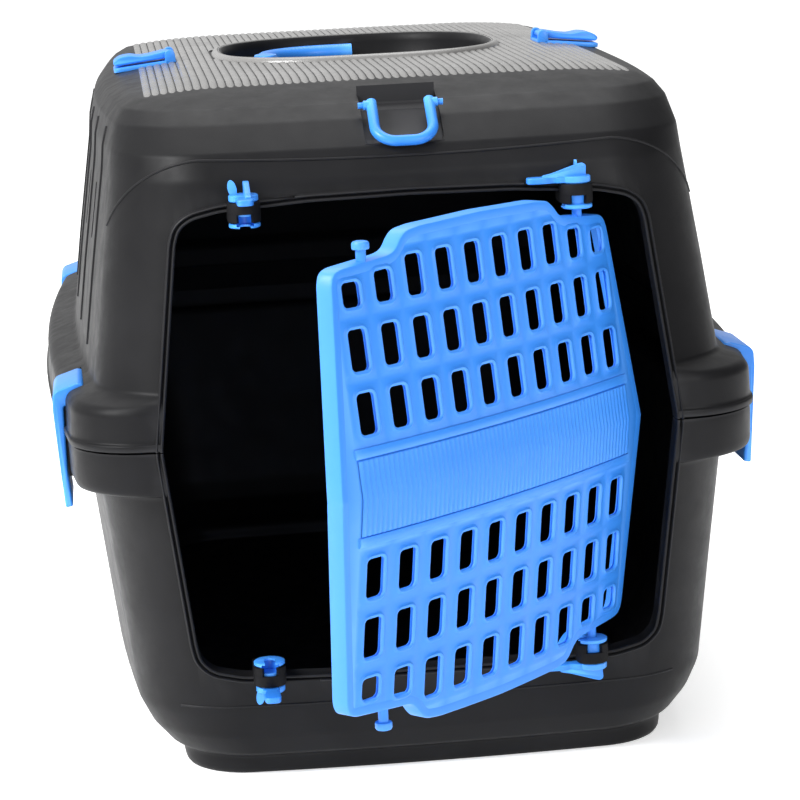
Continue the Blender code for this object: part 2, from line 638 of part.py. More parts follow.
# ---- front bail and carry handle -------------------------------------------------------------
def tube(name, points, radius, resolution=2):
    """A round bar along a path, as a mesh with its end caps welded."""
    curve = bpy.data.curves.new(name, "CURVE")
    curve.dimensions = "3D"
    curve.bevel_depth = radius
    curve.bevel_resolution = resolution
    curve.use_fill_caps = True
    spline = curve.splines.new("POLY")
    spline.points.add(len(points) - 1)
    for point, place in zip(spline.points, points):
        point.co = (*place, 1.0)
    holder = add_object(name + "_path", curve)
    bpy.context.view_layer.update()
    depsgraph = bpy.context.evaluated_depsgraph_get()
    mesh = bpy.data.meshes.new_from_object(holder.evaluated_get(depsgraph))
    bpy.data.objects.remove(holder)
    bm = bmesh.new()
    bm.from_mesh(mesh)
    bmesh.ops.remove_doubles(bm, verts=bm.verts, dist=1e-6)
    bmesh.ops.recalc_face_normals(bm, faces=bm.faces)
    bm.to_mesh(mesh)
    bm.free()
    return add_object(name, mesh)


def loop_path(half, reach, corner, start, direction, across):
    """A U from one end round to the other: two legs, two rounded corners and a bar between them."""
    places = [(-half, 0.0)]
    for step in range(7):
        angle = math.pi + step * math.pi / 12
        places.append((-half + corner + corner * math.cos(angle), reach - corner - corner * math.sin(angle)))
    for step in range(7):
        angle = 1.5 * math.pi + step * math.pi / 12
        places.append((half - corner + corner * math.cos(angle), reach - corner - corner * math.sin(angle)))
    places.append((half, 0.0))
    return [start + across * side + direction * out for side, out in places]


bail_start = Vector((0.0, *BAIL_AXIS))
bail_way = Vector((0.0, BAIL_END[0] - BAIL_AXIS[0], BAIL_END[1] - BAIL_AXIS[1]))
bail_back = bail_way.normalized() * 0.0022
bail = tube("front_bail", loop_path(0.0145, bail_way.length + 0.0022, 0.0105, bail_start - bail_back,
                                    bail_way.normalized(), Vector((1.0, 0.0, 0.0))), 0.0027)
for side in (-1, 1):
    combine(bail, rod("bail_pin_%d" % side, 0.0016, (side * 0.0135, *BAIL_AXIS), (side * 0.0211, *BAIL_AXIS),
                      12), "UNION")
bake_at(bail, (0.0, *BAIL_AXIS))
finish(bail, BLUE, 0.35)

handle = tube("carry_handle", loop_path(0.0800, 0.0560, 0.0400, Vector((0.0050, 0.0, HANDLE_Z)),
                                        Vector((-1.0, 0.0, 0.0)), Vector((0.0, -1.0, 0.0))), 0.0048)
combine(handle, oval("grip_bump", 0.0070, 0.0120, HANDLE_Z - 0.0050, HANDLE_Z + 0.0066, 20), "UNION")
bump = bpy.data.objects["grip_bump"]
bump.location.x = -0.0520
for side in (-1, 1):
    combine(handle, rod("handle_pin_%d" % side, 0.0030, (0.0, side * 0.0780, HANDLE_Z),
                        (0.0, side * 0.0912, HANDLE_Z), 16), "UNION")
bake_at(handle, (0.0, 0.0, HANDLE_Z))
finish(handle, BLUE, 0.35)


# ---- strap clips on the roof -----------------------------------------------------------------
CLIP_TILT = math.radians(5.95)
for tag, side in (("left", -1), ("right", 1)):
    base = box("belt_clip_base_" + tag, (-0.0180, CLIP_Y - 0.0150, 0.0), (0.0180, CLIP_Y + 0.0150, 0.0026))
    for edge in (-1, 1):
        ears = sorted((CLIP_Y + edge * 0.0117, CLIP_Y + edge * 0.0150))
        spots = sorted((-side * 0.0180, -side * 0.0120))
        combine(base, box("clip_ear_%s_%d" % (tag, edge), (spots[0], ears[0], 0.0010),
                          (spots[1], ears[1], 0.0082)), "UNION")
    combine(base, rod("clip_bore_" + tag, 0.0014, (-side * 0.0150, CLIP_Y - 0.02, 0.0056),
                      (-side * 0.0150, CLIP_Y + 0.02, 0.0056), 12), "DIFFERENCE")
    flap_outline = [(-side * 0.0166, 0.0039), (-side * 0.0168, 0.0068), (-side * 0.0130, 0.0080),
                    (-side * 0.0030, 0.0074), (side * 0.0080, 0.0086), (side * 0.0165, 0.0074),
                    (side * 0.0178, 0.0050), (side * 0.0165, 0.0036)]
    flap = prism_xz("belt_clip_flap_" + tag, flap_outline, CLIP_Y - 0.0113, CLIP_Y + 0.0113)
    combine(flap, rod("clip_axle_" + tag, 0.0011, (-side * 0.0150, CLIP_Y - 0.0146, 0.0056),
                      (-side * 0.0150, CLIP_Y + 0.0146, 0.0056), 12), "UNION")
    bake_at(base, (0.0, CLIP_Y, 0.0))
    bake_at(flap, (-side * 0.0150, CLIP_Y, 0.0056))
    finish(base, BLUE, 0.38)
    finish(flap, BLUE, 0.38)
    tilt = Matrix.Translation((side * CLIP_X, CLIP_Y, CLIP_BASE_Z)) @ Matrix.Rotation(side * CLIP_TILT, 4, "Y")
    base.matrix_world = tilt
    flap.matrix_world = tilt @ Matrix.Translation((-side * 0.0150, 0.0, 0.0056))


finish(lower_shell, CHARCOAL, 0.62)
finish(upper_shell, CHARCOAL, 0.62)
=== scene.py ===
"""Visual model of the two-shell transport crate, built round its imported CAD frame.

Metres, +Z up, the door faces -Y. Every piece rides on a body of the frame.
"""
import math

import bmesh
import bpy
from mathutils import Matrix, Vector


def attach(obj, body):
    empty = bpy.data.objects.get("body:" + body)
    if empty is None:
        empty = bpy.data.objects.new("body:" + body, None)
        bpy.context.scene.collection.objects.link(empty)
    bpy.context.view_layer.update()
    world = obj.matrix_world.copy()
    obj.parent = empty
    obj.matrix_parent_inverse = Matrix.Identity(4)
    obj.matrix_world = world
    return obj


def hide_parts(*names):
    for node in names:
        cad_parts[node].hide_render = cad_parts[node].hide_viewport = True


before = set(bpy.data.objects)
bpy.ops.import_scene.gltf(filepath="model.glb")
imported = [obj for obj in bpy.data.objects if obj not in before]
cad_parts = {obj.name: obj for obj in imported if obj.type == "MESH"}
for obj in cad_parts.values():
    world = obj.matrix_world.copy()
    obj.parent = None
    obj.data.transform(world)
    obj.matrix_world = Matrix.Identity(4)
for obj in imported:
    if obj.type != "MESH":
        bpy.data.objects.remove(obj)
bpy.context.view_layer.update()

# ---- dimensions shared with the CAD ----------------------------------------------------------
FRONT_Y = -0.298
REAR_Y = 0.306
SEAM_Z = 0.1772
WALL = 0.0026
ROOF_Z = 0.3505
OPEN_SIDE = 0.131
KEEPER_X = 0.0822
KEEPER_Y = FRONT_Y + 0.0058
LOWER_DROP = 0.0010
DOOR_OPEN = math.radians(44.3)
DOOR_BOW = 0.5614
DOOR_LEAN = math.tan(math.radians(6.6))
DOOR_FACE = 0.0145
SLOT_PITCH = 0.0208
ROW_PITCH = 0.02892
FIRST_UP = 0.0378
FIRST_DOWN = 0.0387
LATCH_Y = 0.211
LATCH_AXIS = (0.1712, 0.1972)
BAIL_AXIS = (FRONT_Y + 0.0360, 0.3400)
BAIL_END = (FRONT_Y + 0.0151, 0.3237)
HANDLE_Z = 0.3432
POCKET_X = 0.0775
POCKET_Y = 0.0880
POCKET_FLOOR = 0.3356
CLIP_X = 0.1225
CLIP_Y = -0.012
CLIP_BASE_Z = 0.3470
CLIP_TILT = math.radians(5.95)
LATCH_SHIFT = 0.002        # the latches sit this much nearer the rear
LATCH_ROOM = 0.0072        # radius of the room in which a latch's head turns
LATCH_BORE = 0.0017
NOTCH_X = 0.1771
NOTCH_HALF = 0.0238
OUTSIDE = 0.25             # cutters reach out through a side wall to here
KEEPER_BORE = 0.0080       # clearance round a keeper's barrel
SIDES = (("left", -1), ("right", 1))
LATCHES = (("left_front", -1, -1), ("left_rear", -1, 1), ("right_front", 1, -1), ("right_rear", 1, 1))

# height, half width, front y, rear y, corner radius, side bow, end bow
UPPER_PROFILE = [
    (SEAM_Z + 0.0008, 0.1712, FRONT_Y + 0.0048, REAR_Y, 0.032, 0.0190, 0.007),
    (0.1812, 0.1715, FRONT_Y + 0.0045, REAR_Y, 0.032, 0.0190, 0.007),
    (0.1818, 0.1702, FRONT_Y + 0.0058, REAR_Y - 0.001, 0.032, 0.0190, 0.007),
    (0.1965, 0.1698, FRONT_Y + 0.0060, REAR_Y - 0.002, 0.032, 0.0188, 0.007),
    (0.2000, 0.1675, FRONT_Y + 0.0072, REAR_Y - 0.003, 0.032, 0.0185, 0.007),
    (0.2045, 0.1562, FRONT_Y + 0.0085, REAR_Y - 0.006, 0.045, 0.0160, 0.007),
    (0.2550, 0.1500, FRONT_Y + 0.0155, REAR_Y - 0.017, 0.045, 0.0150, 0.008),
    (0.3085, 0.1425, FRONT_Y + 0.0215, REAR_Y - 0.030, 0.045, 0.0140, 0.009),
    (0.3210, 0.1415, FRONT_Y + 0.0270, REAR_Y - 0.036, 0.043, 0.0140, 0.009),
    (0.3340, 0.1390, FRONT_Y + 0.0430, REAR_Y - 0.052, 0.040, 0.0135, 0.008),
    (0.3410, 0.1350, FRONT_Y + 0.0560, REAR_Y - 0.064, 0.036, 0.0120, 0.007),
    (0.3450, 0.1290, FRONT_Y + 0.0700, REAR_Y - 0.075, 0.030, 0.0100, 0.006),
]
LOWER_PROFILE = [
    (SEAM_Z - 0.0006, 0.1698, FRONT_Y + 0.0062, REAR_Y - 0.001, 0.032, 0.0190, 0.007),
    (0.1740, 0.1700, FRONT_Y + 0.0060, REAR_Y - 0.001, 0.032, 0.0190, 0.007),
    (0.1580, 0.1697, FRONT_Y + 0.0062, REAR_Y - 0.002, 0.032, 0.0188, 0.007),
    (0.1550, 0.1680, FRONT_Y + 0.0070, REAR_Y - 0.003, 0.032, 0.0185, 0.007),
    (0.1530, 0.1562, FRONT_Y + 0.0085, REAR_Y - 0.006, 0.045, 0.0160, 0.007),
    (0.0950, 0.1502, FRONT_Y + 0.0160, REAR_Y - 0.016, 0.045, 0.0155, 0.008),
    (0.0365, 0.1440, FRONT_Y + 0.0215, REAR_Y - 0.030, 0.045, 0.0150, 0.008),
    (0.0230, 0.1385, FRONT_Y + 0.0232, REAR_Y - 0.036, 0.045, 0.0125, 0.008),
    (0.0120, 0.1300, FRONT_Y + 0.0260, REAR_Y - 0.050, 0.043, 0.0100, 0.006),
    (0.0095, 0.1250, FRONT_Y + 0.0330, REAR_Y - 0.058, 0.034, 0.0070, 0.006),
    (0.0020, 0.1245, FRONT_Y + 0.0335, REAR_Y - 0.059, 0.032, 0.0060, 0.006),
    (0.0000, 0.1230, FRONT_Y + 0.0350, REAR_Y - 0.061, 0.030, 0.0060, 0.006),
]
OPENING_HALF = [
    (0.0000, 0.2975), (0.0500, 0.2966), (0.0940, 0.2935), (0.1080, 0.2903), (0.1140, 0.2860),
    (0.1163, 0.2790), (0.1289, SEAM_Z), (0.1174, 0.0740), (0.1155, 0.0665), (0.1095, 0.0610),
    (0.0950, 0.0578), (0.0500, 0.0568), (0.0000, 0.0572),
]
DOOR_HALF = [
    (0.0000, 0.2958), (0.0450, 0.2947), (0.0545, 0.2934), (0.0585, 0.2905), (0.0625, 0.2858),
    (0.0670, 0.2840), (0.0985, 0.2814), (0.1028, 0.2797), (0.1050, 0.2750), (0.1162, SEAM_Z),
    (0.1082, 0.0790), (0.1062, 0.0746), (0.1020, 0.0727), (0.0670, 0.0703), (0.0630, 0.0680),
    (0.0585, 0.0625), (0.0545, 0.0600), (0.0450, 0.0588), (0.0000, 0.0580),
]


# ---- materials -------------------------------------------------------------------------------
def set_inputs(node, values):
    for socket, value in values.items():
        node.inputs[socket].default_value = value


def plastic(name, low, high, roughness, grain=1600.0, bump=0.12, mottle=18.0, pale_edge=None, specular=0.38):
    """Moulded plastic: mottled colour, fine grain, uneven gloss, and a paler colour on sharp convex edges.
    """
    material = bpy.data.materials.new(name)
    material.use_nodes = True
    nodes = material.node_tree.nodes
    links = material.node_tree.links
    shader = nodes["Principled BSDF"]
    place = nodes.new("ShaderNodeTexCoord")

    def noise(scale, detail, rough=0.5):
        node = nodes.new("ShaderNodeTexNoise")
        set_inputs(node, {"Scale": scale, "Detail": detail, "Roughness": rough})
        links.new(place.outputs["Object"], node.inputs["Vector"])
        return node

    def two_tone(*stops):
        node = nodes.new("ShaderNodeValToRGB")
        for element, (position, tone) in zip(node.color_ramp.elements, stops):
            element.position = position
            element.color = (*tone, 1.0)
        return node

    patches = noise(mottle, 5.0, 0.6)
    ramp = two_tone((0.32, low), (0.72, high))
    links.new(patches.outputs["Fac"], ramp.inputs["Fac"])
    colour = ramp.outputs["Color"]
    if pale_edge is not None:
        geometry = nodes.new("ShaderNodeNewGeometry")
        edge = two_tone((0.530, (0.0, 0.0, 0.0)), (0.60, (0.75, 0.75, 0.75)))
        links.new(geometry.outputs["Pointiness"], edge.inputs["Fac"])
        edge_mix = nodes.new("ShaderNodeMix")
        edge_mix.data_type = "RGBA"
        edge_mix.inputs["B"].default_value = (*pale_edge, 1.0)
        links.new(edge.outputs["Color"], edge_mix.inputs["Factor"])
        links.new(colour, edge_mix.inputs["A"])
        colour = edge_mix.outputs["Result"]
    links.new(colour, shader.inputs["Base Color"])

    gloss = noise(mottle * 4.5, 4.0, 0.65)
    spread = nodes.new("ShaderNodeMapRange")
    set_inputs(spread, {"From Min": 0.3, "From Max": 0.7, "To Min": roughness - 0.05,
                        "To Max": roughness + 0.07})
    links.new(gloss.outputs["Fac"], spread.inputs["Value"])
    links.new(spread.outputs["Result"], shader.inputs["Roughness"])

    grit = noise(grain, 2.0)
    relief = nodes.new("ShaderNodeBump")
    set_inputs(relief, {"Strength": bump, "Distance": 0.0003})
    links.new(grit.outputs["Fac"], relief.inputs["Height"])
    links.new(relief.outputs["Normal"], shader.inputs["Normal"])
    shader.inputs["Specular IOR Level"].default_value = specular
    return material


SHELL = plastic("charcoal_plastic", (0.0060, 0.0060, 0.0067), (0.0098, 0.0098, 0.0108), 0.44,
                pale_edge=(0.026, 0.026, 0.028), specular=0.13)
DARK = plastic("shaded_plastic", (0.005, 0.005, 0.006), (0.008, 0.008, 0.009), 0.60, specular=0.10)
# Painted sheen: the roof is the same charcoal plastic as the shell, and this pale grey colour stands in for
# light reflected off it from above. Its paler edge colour paints highlights on the ribs.
ROOF_PAINTED_SHEEN = plastic("roof_plastic_painted_sheen", (0.120, 0.118, 0.115), (0.175, 0.172, 0.168), 0.27, pale_edge=(0.30, 0.295, 0.29),
               specular=0.70)
BLUE = plastic("blue_plastic", (0.026, 0.205, 0.700), (0.034, 0.232, 0.780), 0.34,
               grain=900.0, bump=0.05, mottle=9.0, pale_edge=(0.09, 0.38, 0.95))
BLUE_DOOR = plastic("blue_door_plastic", (0.028, 0.208, 0.700), (0.036, 0.236, 0.780), 0.40,
                    grain=1200.0, bump=0.06, mottle=10.0, pale_edge=(0.10, 0.34, 0.92))


# ---- mesh helpers ----------------------------------------------------------------------------
def link(name, data):
    obj = bpy.data.objects.new(name, data)
    bpy.context.scene.collection.objects.link(obj)
    return obj


def mesh_from(name, bm):
    mesh = bpy.data.meshes.new(name)
    bm.to_mesh(mesh)
    bm.free()
    return mesh


def smooth_mesh(mesh, degrees):
    """Shade smooth, but keep the edges that turn more than an angle."""
    mesh.shade_smooth()
    mesh.set_sharp_from_angle(angle=math.radians(degrees))
    return mesh


def add_mesh(name, bm, degrees=35.0):
    bmesh.ops.remove_doubles(bm, verts=bm.verts, dist=2e-6)
    bmesh.ops.recalc_face_normals(bm, faces=bm.faces)
    return link(name, smooth_mesh(mesh_from(name, bm), degrees))


def bake(obj, degrees=35.0):
    """Apply the modifiers."""
    bpy.context.view_layer.update()
    baked = bpy.data.meshes.new_from_object(obj.evaluated_get(bpy.context.evaluated_depsgraph_get()))
    obj.modifiers.clear()
    obj.data = smooth_mesh(baked, degrees)
    return obj


def boolean(obj, cutter, operation="DIFFERENCE", solver="FAST"):
    """Cut or join at once, and remove the other object."""
    modifier = obj.modifiers.new("cut", "BOOLEAN")
    modifier.operation = operation
    modifier.solver = solver
    modifier.object = cutter
    bake(obj)
    bpy.data.objects.remove(cutter)


def sure_cut(obj, cutter, missing):
    """Cut, and stop the script if nothing was cut."""
    before = len(obj.data.polygons)
    boolean(obj, cutter, solver="EXACT")
    if len(obj.data.polygons) in (0, before):
        raise RuntimeError(obj.name + " has no " + missing)


def solidify(obj, thickness, offset=-1.0, even=True):
    modifier = obj.modifiers.new("wall", "SOLIDIFY")
    modifier.thickness = thickness
    modifier.offset = offset
    modifier.use_even_offset = even
    return bake(obj)


def bevel(obj, width, segments=3, angle=30.0):
    modifier = obj.modifiers.new("edges", "BEVEL")
    modifier.width = width
    modifier.segments = segments
    modifier.limit_method = "ANGLE"
    modifier.angle_limit = math.radians(angle)
    return bake(obj, 40.0)


def move_mesh(obj, matrix):
    obj.data.transform(matrix)
    return obj


def piece(obj, body, material, slot, *replaced):
    """Give a finished object its material and body, and hide the CAD nodes that it stands for."""
    obj.data.materials.clear()
    obj.data.materials.append(material)
    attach(obj, body)
    if replaced:
        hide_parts(*replaced)
    return obj


def round_corners(points, reach, steps=4):
    """Replace each corner of a closed outline by a short curve."""
    rounded = []
    for index, here in enumerate(points):
        here = Vector(here)
        before = Vector(points[index - 1])
        after = Vector(points[(index + 1) % len(points)])
        start = here + (before - here) * min(reach / max((before - here).length, 1e-9), 0.45)
        end = here + (after - here) * min(reach / max((after - here).length, 1e-9), 0.45)
        for step in range(steps + 1):
            t = step / steps
            rounded.append(tuple(start * (1 - t) ** 2 + here * (2 * t * (1 - t)) + end * t ** 2))
    return rounded


def offset_outline(outline, distance):
    moved = []
    count = len(outline)
    for index, point in enumerate(outline):
        here = Vector(point)
        first = (here - Vector(outline[index - 1])).normalized()
        second = (Vector(outline[(index + 1) % count]) - here).normalized()
        normal_first = Vector((-first.y, first.x))
        normal_second = Vector((-second.y, second.x))
        mitre = (normal_first + normal_second).normalized()
        moved.append(tuple(here + mitre * distance / max(mitre.dot(normal_first), 0.5)))
    return moved


def mirrored(half):
    return half + [(-x, z) for x, z in reversed(half[1:-1])]


def slab(name, outline, push):
    """A flat outline of 3-D points pushed along a vector."""
    push = Vector(push)
    bm = bmesh.new()
    near = [bm.verts.new(point) for point in outline]
    far = [bm.verts.new(Vector(point) + push) for point in outline]
    bm.faces.new(near)
    bm.faces.new(list(reversed(far)))
    for index in range(len(outline)):
        after = (index + 1) % len(outline)
        bm.faces.new((near[index], far[index], far[after], near[after]))
    return add_mesh(name, bm)


def block(name, xs, ys, low, height):
    """A box between two x and two y, from a height upwards."""
    corners = ((xs[0], ys[0]), (xs[1], ys[0]), (xs[1], ys[1]), (xs[0], ys[1]))
    return slab(name, [(x, y, low) for x, y in corners], (0.0, 0.0, height))


def lathe(name, profile, segments=40, start=0.0, turn=2 * math.pi, closed=False):
    """Turn a profile of (radius, height) about Z. A part turn or a closed profile makes a solid."""
    bm = bmesh.new()
    full = abs(turn - 2 * math.pi) < 1e-6
    count = segments if full else segments + 1
    rings = []
    for index in range(count):
        angle = start + turn * index / segments
        rings.append([bm.verts.new((r * math.cos(angle), r * math.sin(angle), z)) for r, z in profile])
    last = len(profile) if closed else len(profile) - 1
    for index in range(count if full else count - 1):
        here = rings[index]
        there = rings[(index + 1) % count]
        for step in range(last):
            above = (step + 1) % len(profile)
            bm.faces.new((here[step], there[step], there[above], here[above]))
    if not full:
        bm.faces.new(rings[0])
        bm.faces.new(list(reversed(rings[-1])))
    return add_mesh(name, bm)


def rod(name, radius, low, high, segments=32):
    return lathe(name, [(0.0, low), (radius, low), (radius, high), (0.0, high)], segments)


def lay_along_y(obj, place):
    """Lay something made upright along Y, about a place."""
    return move_mesh(obj, Matrix.Translation(place) @ Matrix.Rotation(math.pi / 2, 4, "X"))


def bore(obj, radius, half_length, place, upright=True):
    """A round hole through a place, upright or along Y."""
    cutter = rod("rod", radius, -half_length, half_length)
    if upright:
        move_mesh(cutter, Matrix.Translation(place))
    else:
        lay_along_y(cutter, place)
    sure_cut(obj, cutter, "bore")


def join(name, objects):
    """Merge several mesh objects into one."""
    bm = bmesh.new()
    for obj in objects:
        part = obj.data.copy()
        part.transform(obj.matrix_world)
        bm.from_mesh(part)
        bpy.data.objects.remove(obj)
    return link(name, smooth_mesh(mesh_from(name, bm), 38.0))


def bridge(bm, rows, closed=True):
    """Faces between neighbouring rows of vertices, whose ends meet if closed."""
    count = len(rows[0])
    for lower, upper in zip(rows, rows[1:]):
        for index in range(count if closed else count - 1):
            after = (index + 1) % count
            bm.faces.new((lower[index], lower[after], upper[after], upper[index]))


def band(name, rings):
    """A closed sweep of closed sections."""
    bm = bmesh.new()
    sections = [[bm.verts.new(point) for point in ring] for ring in rings]
    size = len(rings[0])
    for index, section in enumerate(sections):
        after = sections[(index + 1) % len(sections)]
        for side in range(size):
            other = (side + 1) % size
            bm.faces.new((section[side], after[side], after[other], section[other]))
    return add_mesh(name, bm)


def tube(name, points, radius, resolution=8):
    """A round bar along a path, with flat closed ends."""
    curve = bpy.data.curves.new(name, "CURVE")
    curve.dimensions = "3D"
    curve.bevel_depth = radius
    curve.bevel_resolution = resolution
    curve.use_fill_caps = True
    spline = curve.splines.new("POLY")
    spline.points.add(len(points) - 1)
    for point, place in zip(spline.points, points):
        point.co = (*place, 1.0)
    holder = link(name, curve)
    bpy.context.view_layer.update()
    mesh = bpy.data.meshes.new_from_object(holder.evaluated_get(bpy.context.evaluated_depsgraph_get()))
    bpy.data.objects.remove(holder)
    return link(name, mesh)


# ---- shells ----------------------------------------------------------------------------------
CORNER_STEPS = 12
EDGE_STEPS = 16


def plan_loop(z, half_width, front, rear, corner, side_bow, end_bow):
    middle = (front + rear) / 2
    half_length = (rear - front) / 2
    corners = [
        (half_width - corner, half_length - corner, 0.0),
        (corner - half_width, half_length - corner, math.pi / 2),
        (corner - half_width, corner - half_length, math.pi),
        (half_width - corner, corner - half_length, 1.5 * math.pi),
    ]
    arcs = []
    for centre_x, centre_y, start in corners:
        arcs.append([(centre_x + corner * math.cos(start + step * math.pi / 2 / CORNER_STEPS),
                      centre_y + corner * math.sin(start + step * math.pi / 2 / CORNER_STEPS))
                     for step in range(CORNER_STEPS + 1)])
    loop = []
    for index, arc in enumerate(arcs):
        loop += arc
        next_x, next_y = arcs[(index + 1) % 4][0]
        x, y = arc[-1]
        for step in range(1, EDGE_STEPS):
            share = step / EDGE_STEPS
            loop.append((x + (next_x - x) * share, y + (next_y - y) * share))
    bowed = []
    for x, y in loop:
        across = x / half_width
        along = y / half_length
        bowed.append((x + side_bow * (1 - along ** 2) * across,
                      middle + y + end_bow * (1 - across ** 2) * along, z))
    return bowed


def fillet_rows(rows, reach):
    """Round each corner of the shell's profile."""
    rounded = [rows[0]]
    for before, here, after in zip(rows, rows[1:], rows[2:]):
        def length(a, b):
            return math.dist(a[:4], b[:4])
        back = min(reach / length(before, here), 0.45)
        ahead = min(reach / length(here, after), 0.45)
        start = [h + (b - h) * back for h, b in zip(here, before)]
        end = [h + (a - h) * ahead for h, a in zip(here, after)]
        for step in range(5):
            t = step / 4
            rounded.append(tuple(s * (1 - t) ** 2 + h * 2 * t * (1 - t) + e * t * t
                                 for s, h, e in zip(start, here, end)))
    rounded.append(rows[-1])
    return rounded


def shell(name, profile, cap_z, reach):
    """One shell as a skin: the profile's rows, then a crowned cap up to a height."""
    bm = bmesh.new()
    loops = [[bm.verts.new(point) for point in plan_loop(*row)] for row in fillet_rows(profile, reach)]
    rim = [v.co.copy() for v in loops[-1]]
    for share in (0.96, 0.88, 0.75, 0.62):
        rise = 1 - ((share - 0.62) / 0.38) ** 2
        height = rim[0].z + (cap_z - rim[0].z) * rise
        loops.append([bm.verts.new((p.x * share, p.y * (0.3 + 0.7 * share), height)) for p in rim])
    centre = bm.verts.new((0.0, 0.0, cap_z))
    bridge(bm, loops)
    crown = loops[-1]
    for index in range(len(rim)):
        bm.faces.new((crown[index], crown[(index + 1) % len(rim)], centre))
    bmesh.ops.recalc_face_normals(bm, faces=bm.faces)
    outward = 1.0 if cap_z > SEAM_Z else -1.0
    if centre.link_faces[0].normal.z * outward < 0:
        bmesh.ops.reverse_faces(bm, faces=bm.faces)
    return solidify(link(name, mesh_from(name, bm)), WALL)


LIP_LEAN = 0.11
LIP_BOW = 0.55


def lip_front(x, z):
    """Y of the lip's front, which leans back from the seam and bows across."""
    return FRONT_Y + 0.0015 + LIP_LEAN * abs(z - SEAM_Z) - LIP_BOW * (OPEN_SIDE ** 2 - x ** 2)


def resample(outline, spacing):
    """Add points along an outline's long stretches."""
    dense = []
    count = len(outline)
    for index in range(count):
        here = Vector(outline[index])
        there = Vector(outline[(index + 1) % count])
        parts = max(1, round((there - here).length / spacing))
        for step in range(parts):
            dense.append(tuple(here.lerp(there, step / parts)))
    return dense


opening_outline = resample(round_corners(mirrored(OPENING_HALF), 0.0035), 0.006)


def opening_prism(name):
    outline = offset_outline(opening_outline, 0.0008)
    return slab(name, [(x, -0.36, z) for x, z in outline], (0.0, 0.098, 0.0))


# Section of the lip, as (out from the opening's edge, back from its front): two fine ridges.
LIP_SECTION = [
    (0.0000, 0.0014), (0.0003, 0.0004), (0.0009, 0.0000), (0.0015, 0.0003), (0.0018, 0.0012),
    (0.0021, 0.0017), (0.0025, 0.0013), (0.0028, 0.0005), (0.0033, 0.0001), (0.0038, 0.0005),
    (0.0040, 0.0014), (0.0040, 0.0165), (0.0000, 0.0115),
]


def lip(name, low, high):
    rings = []
    edges = [offset_outline(opening_outline, out) for out, _ in LIP_SECTION]
    for index in range(len(opening_outline)):
        front = lip_front(*opening_outline[index])
        rings.append([(edge[index][0], front + back, edge[index][1])
                      for edge, (_, back) in zip(edges, LIP_SECTION)])
    obj = band(name, rings)
    boolean(obj, block(name + "_keep", (-0.3, 0.3), (-0.4, 0.1), low, high - low), "INTERSECT")
    return obj


def flip_to_level(obj, upward, x, y, angle=0.0):
    """A fitting made with height as distance from the seam, set above or below it."""
    if upward:
        matrix = Matrix.Translation((0.0, 0.0, SEAM_Z))
    else:
        matrix = Matrix.Translation((0.0, 0.0, SEAM_Z - LOWER_DROP)) @ Matrix.Diagonal((1, 1, -1, 1))
    obj.data.transform(Matrix.Translation((x, y, 0.0)) @ Matrix.Rotation(angle, 4, "Z") @ matrix)
    if not upward:
        obj.data.flip_normals()
    return obj


def collar(name, x, upward):
    """A C-shaped sleeve, open to the front below its top ring."""
    gap = math.asin(0.5)
    low = [(0.0061, 0.1122), (0.0064, 0.1120), (0.0078, 0.1120), (0.0082, 0.1124), (0.0082, 0.1165),
           (0.0061, 0.1165)]
    open_part = lathe(name + "_open", low, 40, -math.pi / 2 + gap, 2 * math.pi - 2 * gap, True)
    ring_profile = [(0.0061, 0.1163), (0.0082, 0.1163), (0.0082, 0.1213), (0.0079, 0.1218),
                    (0.0064, 0.1218), (0.0061, 0.1215)]
    ring = lathe(name + "_ring", ring_profile, 48, closed=True)
    web = block(name + "_web", (-0.0082, 0.0082), (0.0, 0.0145), 0.1120, 0.0098)
    boolean(web, rod(name + "_hole", 0.0070, 0.11, 0.123))
    bevel(web, 0.0006, 2)
    whole = join(name, [open_part, ring, web])
    return flip_to_level(whole, upward, x, KEEPER_Y)


lower_skin = shell("lower_shell_skin", LOWER_PROFILE, 0.0, 0.0030)
boolean(lower_skin, opening_prism("cut_lower"))
upper_skin = shell("upper_shell_skin", UPPER_PROFILE, ROOF_Z, 0.0020)
boolean(upper_skin, opening_prism("cut_upper"))


def oval_points(half_x, half_y, z, count=112, power=0.76):
    """A squarish oval."""
    points = []
    for index in range(count):
        across = math.cos(2 * math.pi * index / count)
        along = math.sin(2 * math.pi * index / count)
        points.append((half_x * math.copysign(abs(across) ** power, across),
                       half_y * math.copysign(abs(along) ** power, along), z))
    return points


boolean(upper_skin, slab("pocket_cut", oval_points(POCKET_X + 0.001, POCKET_Y + 0.001, 0.33),
                         (0.0, 0.0, 0.05)))

# Bail recess: its outline from the front, cut straight back.
RECESS_HALF = 0.0197
RECESS_LOW = 0.3218
recess = round_corners([(-RECESS_HALF, 0.36), (RECESS_HALF, 0.36), (RECESS_HALF, RECESS_LOW),
                        (-RECESS_HALF, RECESS_LOW)], 0.004)
boolean(upper_skin, slab("recess_cut", [(x, FRONT_Y - 0.01, z) for x, z in recess], (0.0, 0.0700, 0.0)))

# Side latches: a shelf with a room for each latch's head, a notch, and the notch's lining.
SHELF_LINE = [(0.1600, 0.1865), (0.1600, 0.2030), (0.1640, 0.2026), (0.1740, 0.1986), (0.1740, 0.1865)]
SHELF_HALF = 0.0268
ROOM_HALF = 0.0242
BORE_HALF = 0.0260
ROOM_LINE = [(0.0, -BORE_HALF), (LATCH_BORE, -BORE_HALF), (LATCH_BORE, -ROOM_HALF), (LATCH_ROOM, -ROOM_HALF),
             (LATCH_ROOM, ROOM_HALF), (LATCH_BORE, ROOM_HALF), (LATCH_BORE, BORE_HALF), (0.0, BORE_HALF)]
LINING_HALF = 0.0262
LINING_WALL = 0.0024


def wall_block(name, side, end, inner_x, half, low=0.150, height=0.054, outer_x=OUTSIDE):
    """A box in a side wall, centred on a latch."""
    middle = end * LATCH_Y + LATCH_SHIFT
    return block(name, (side * inner_x, side * outer_x), (middle - half, middle + half), low, height)


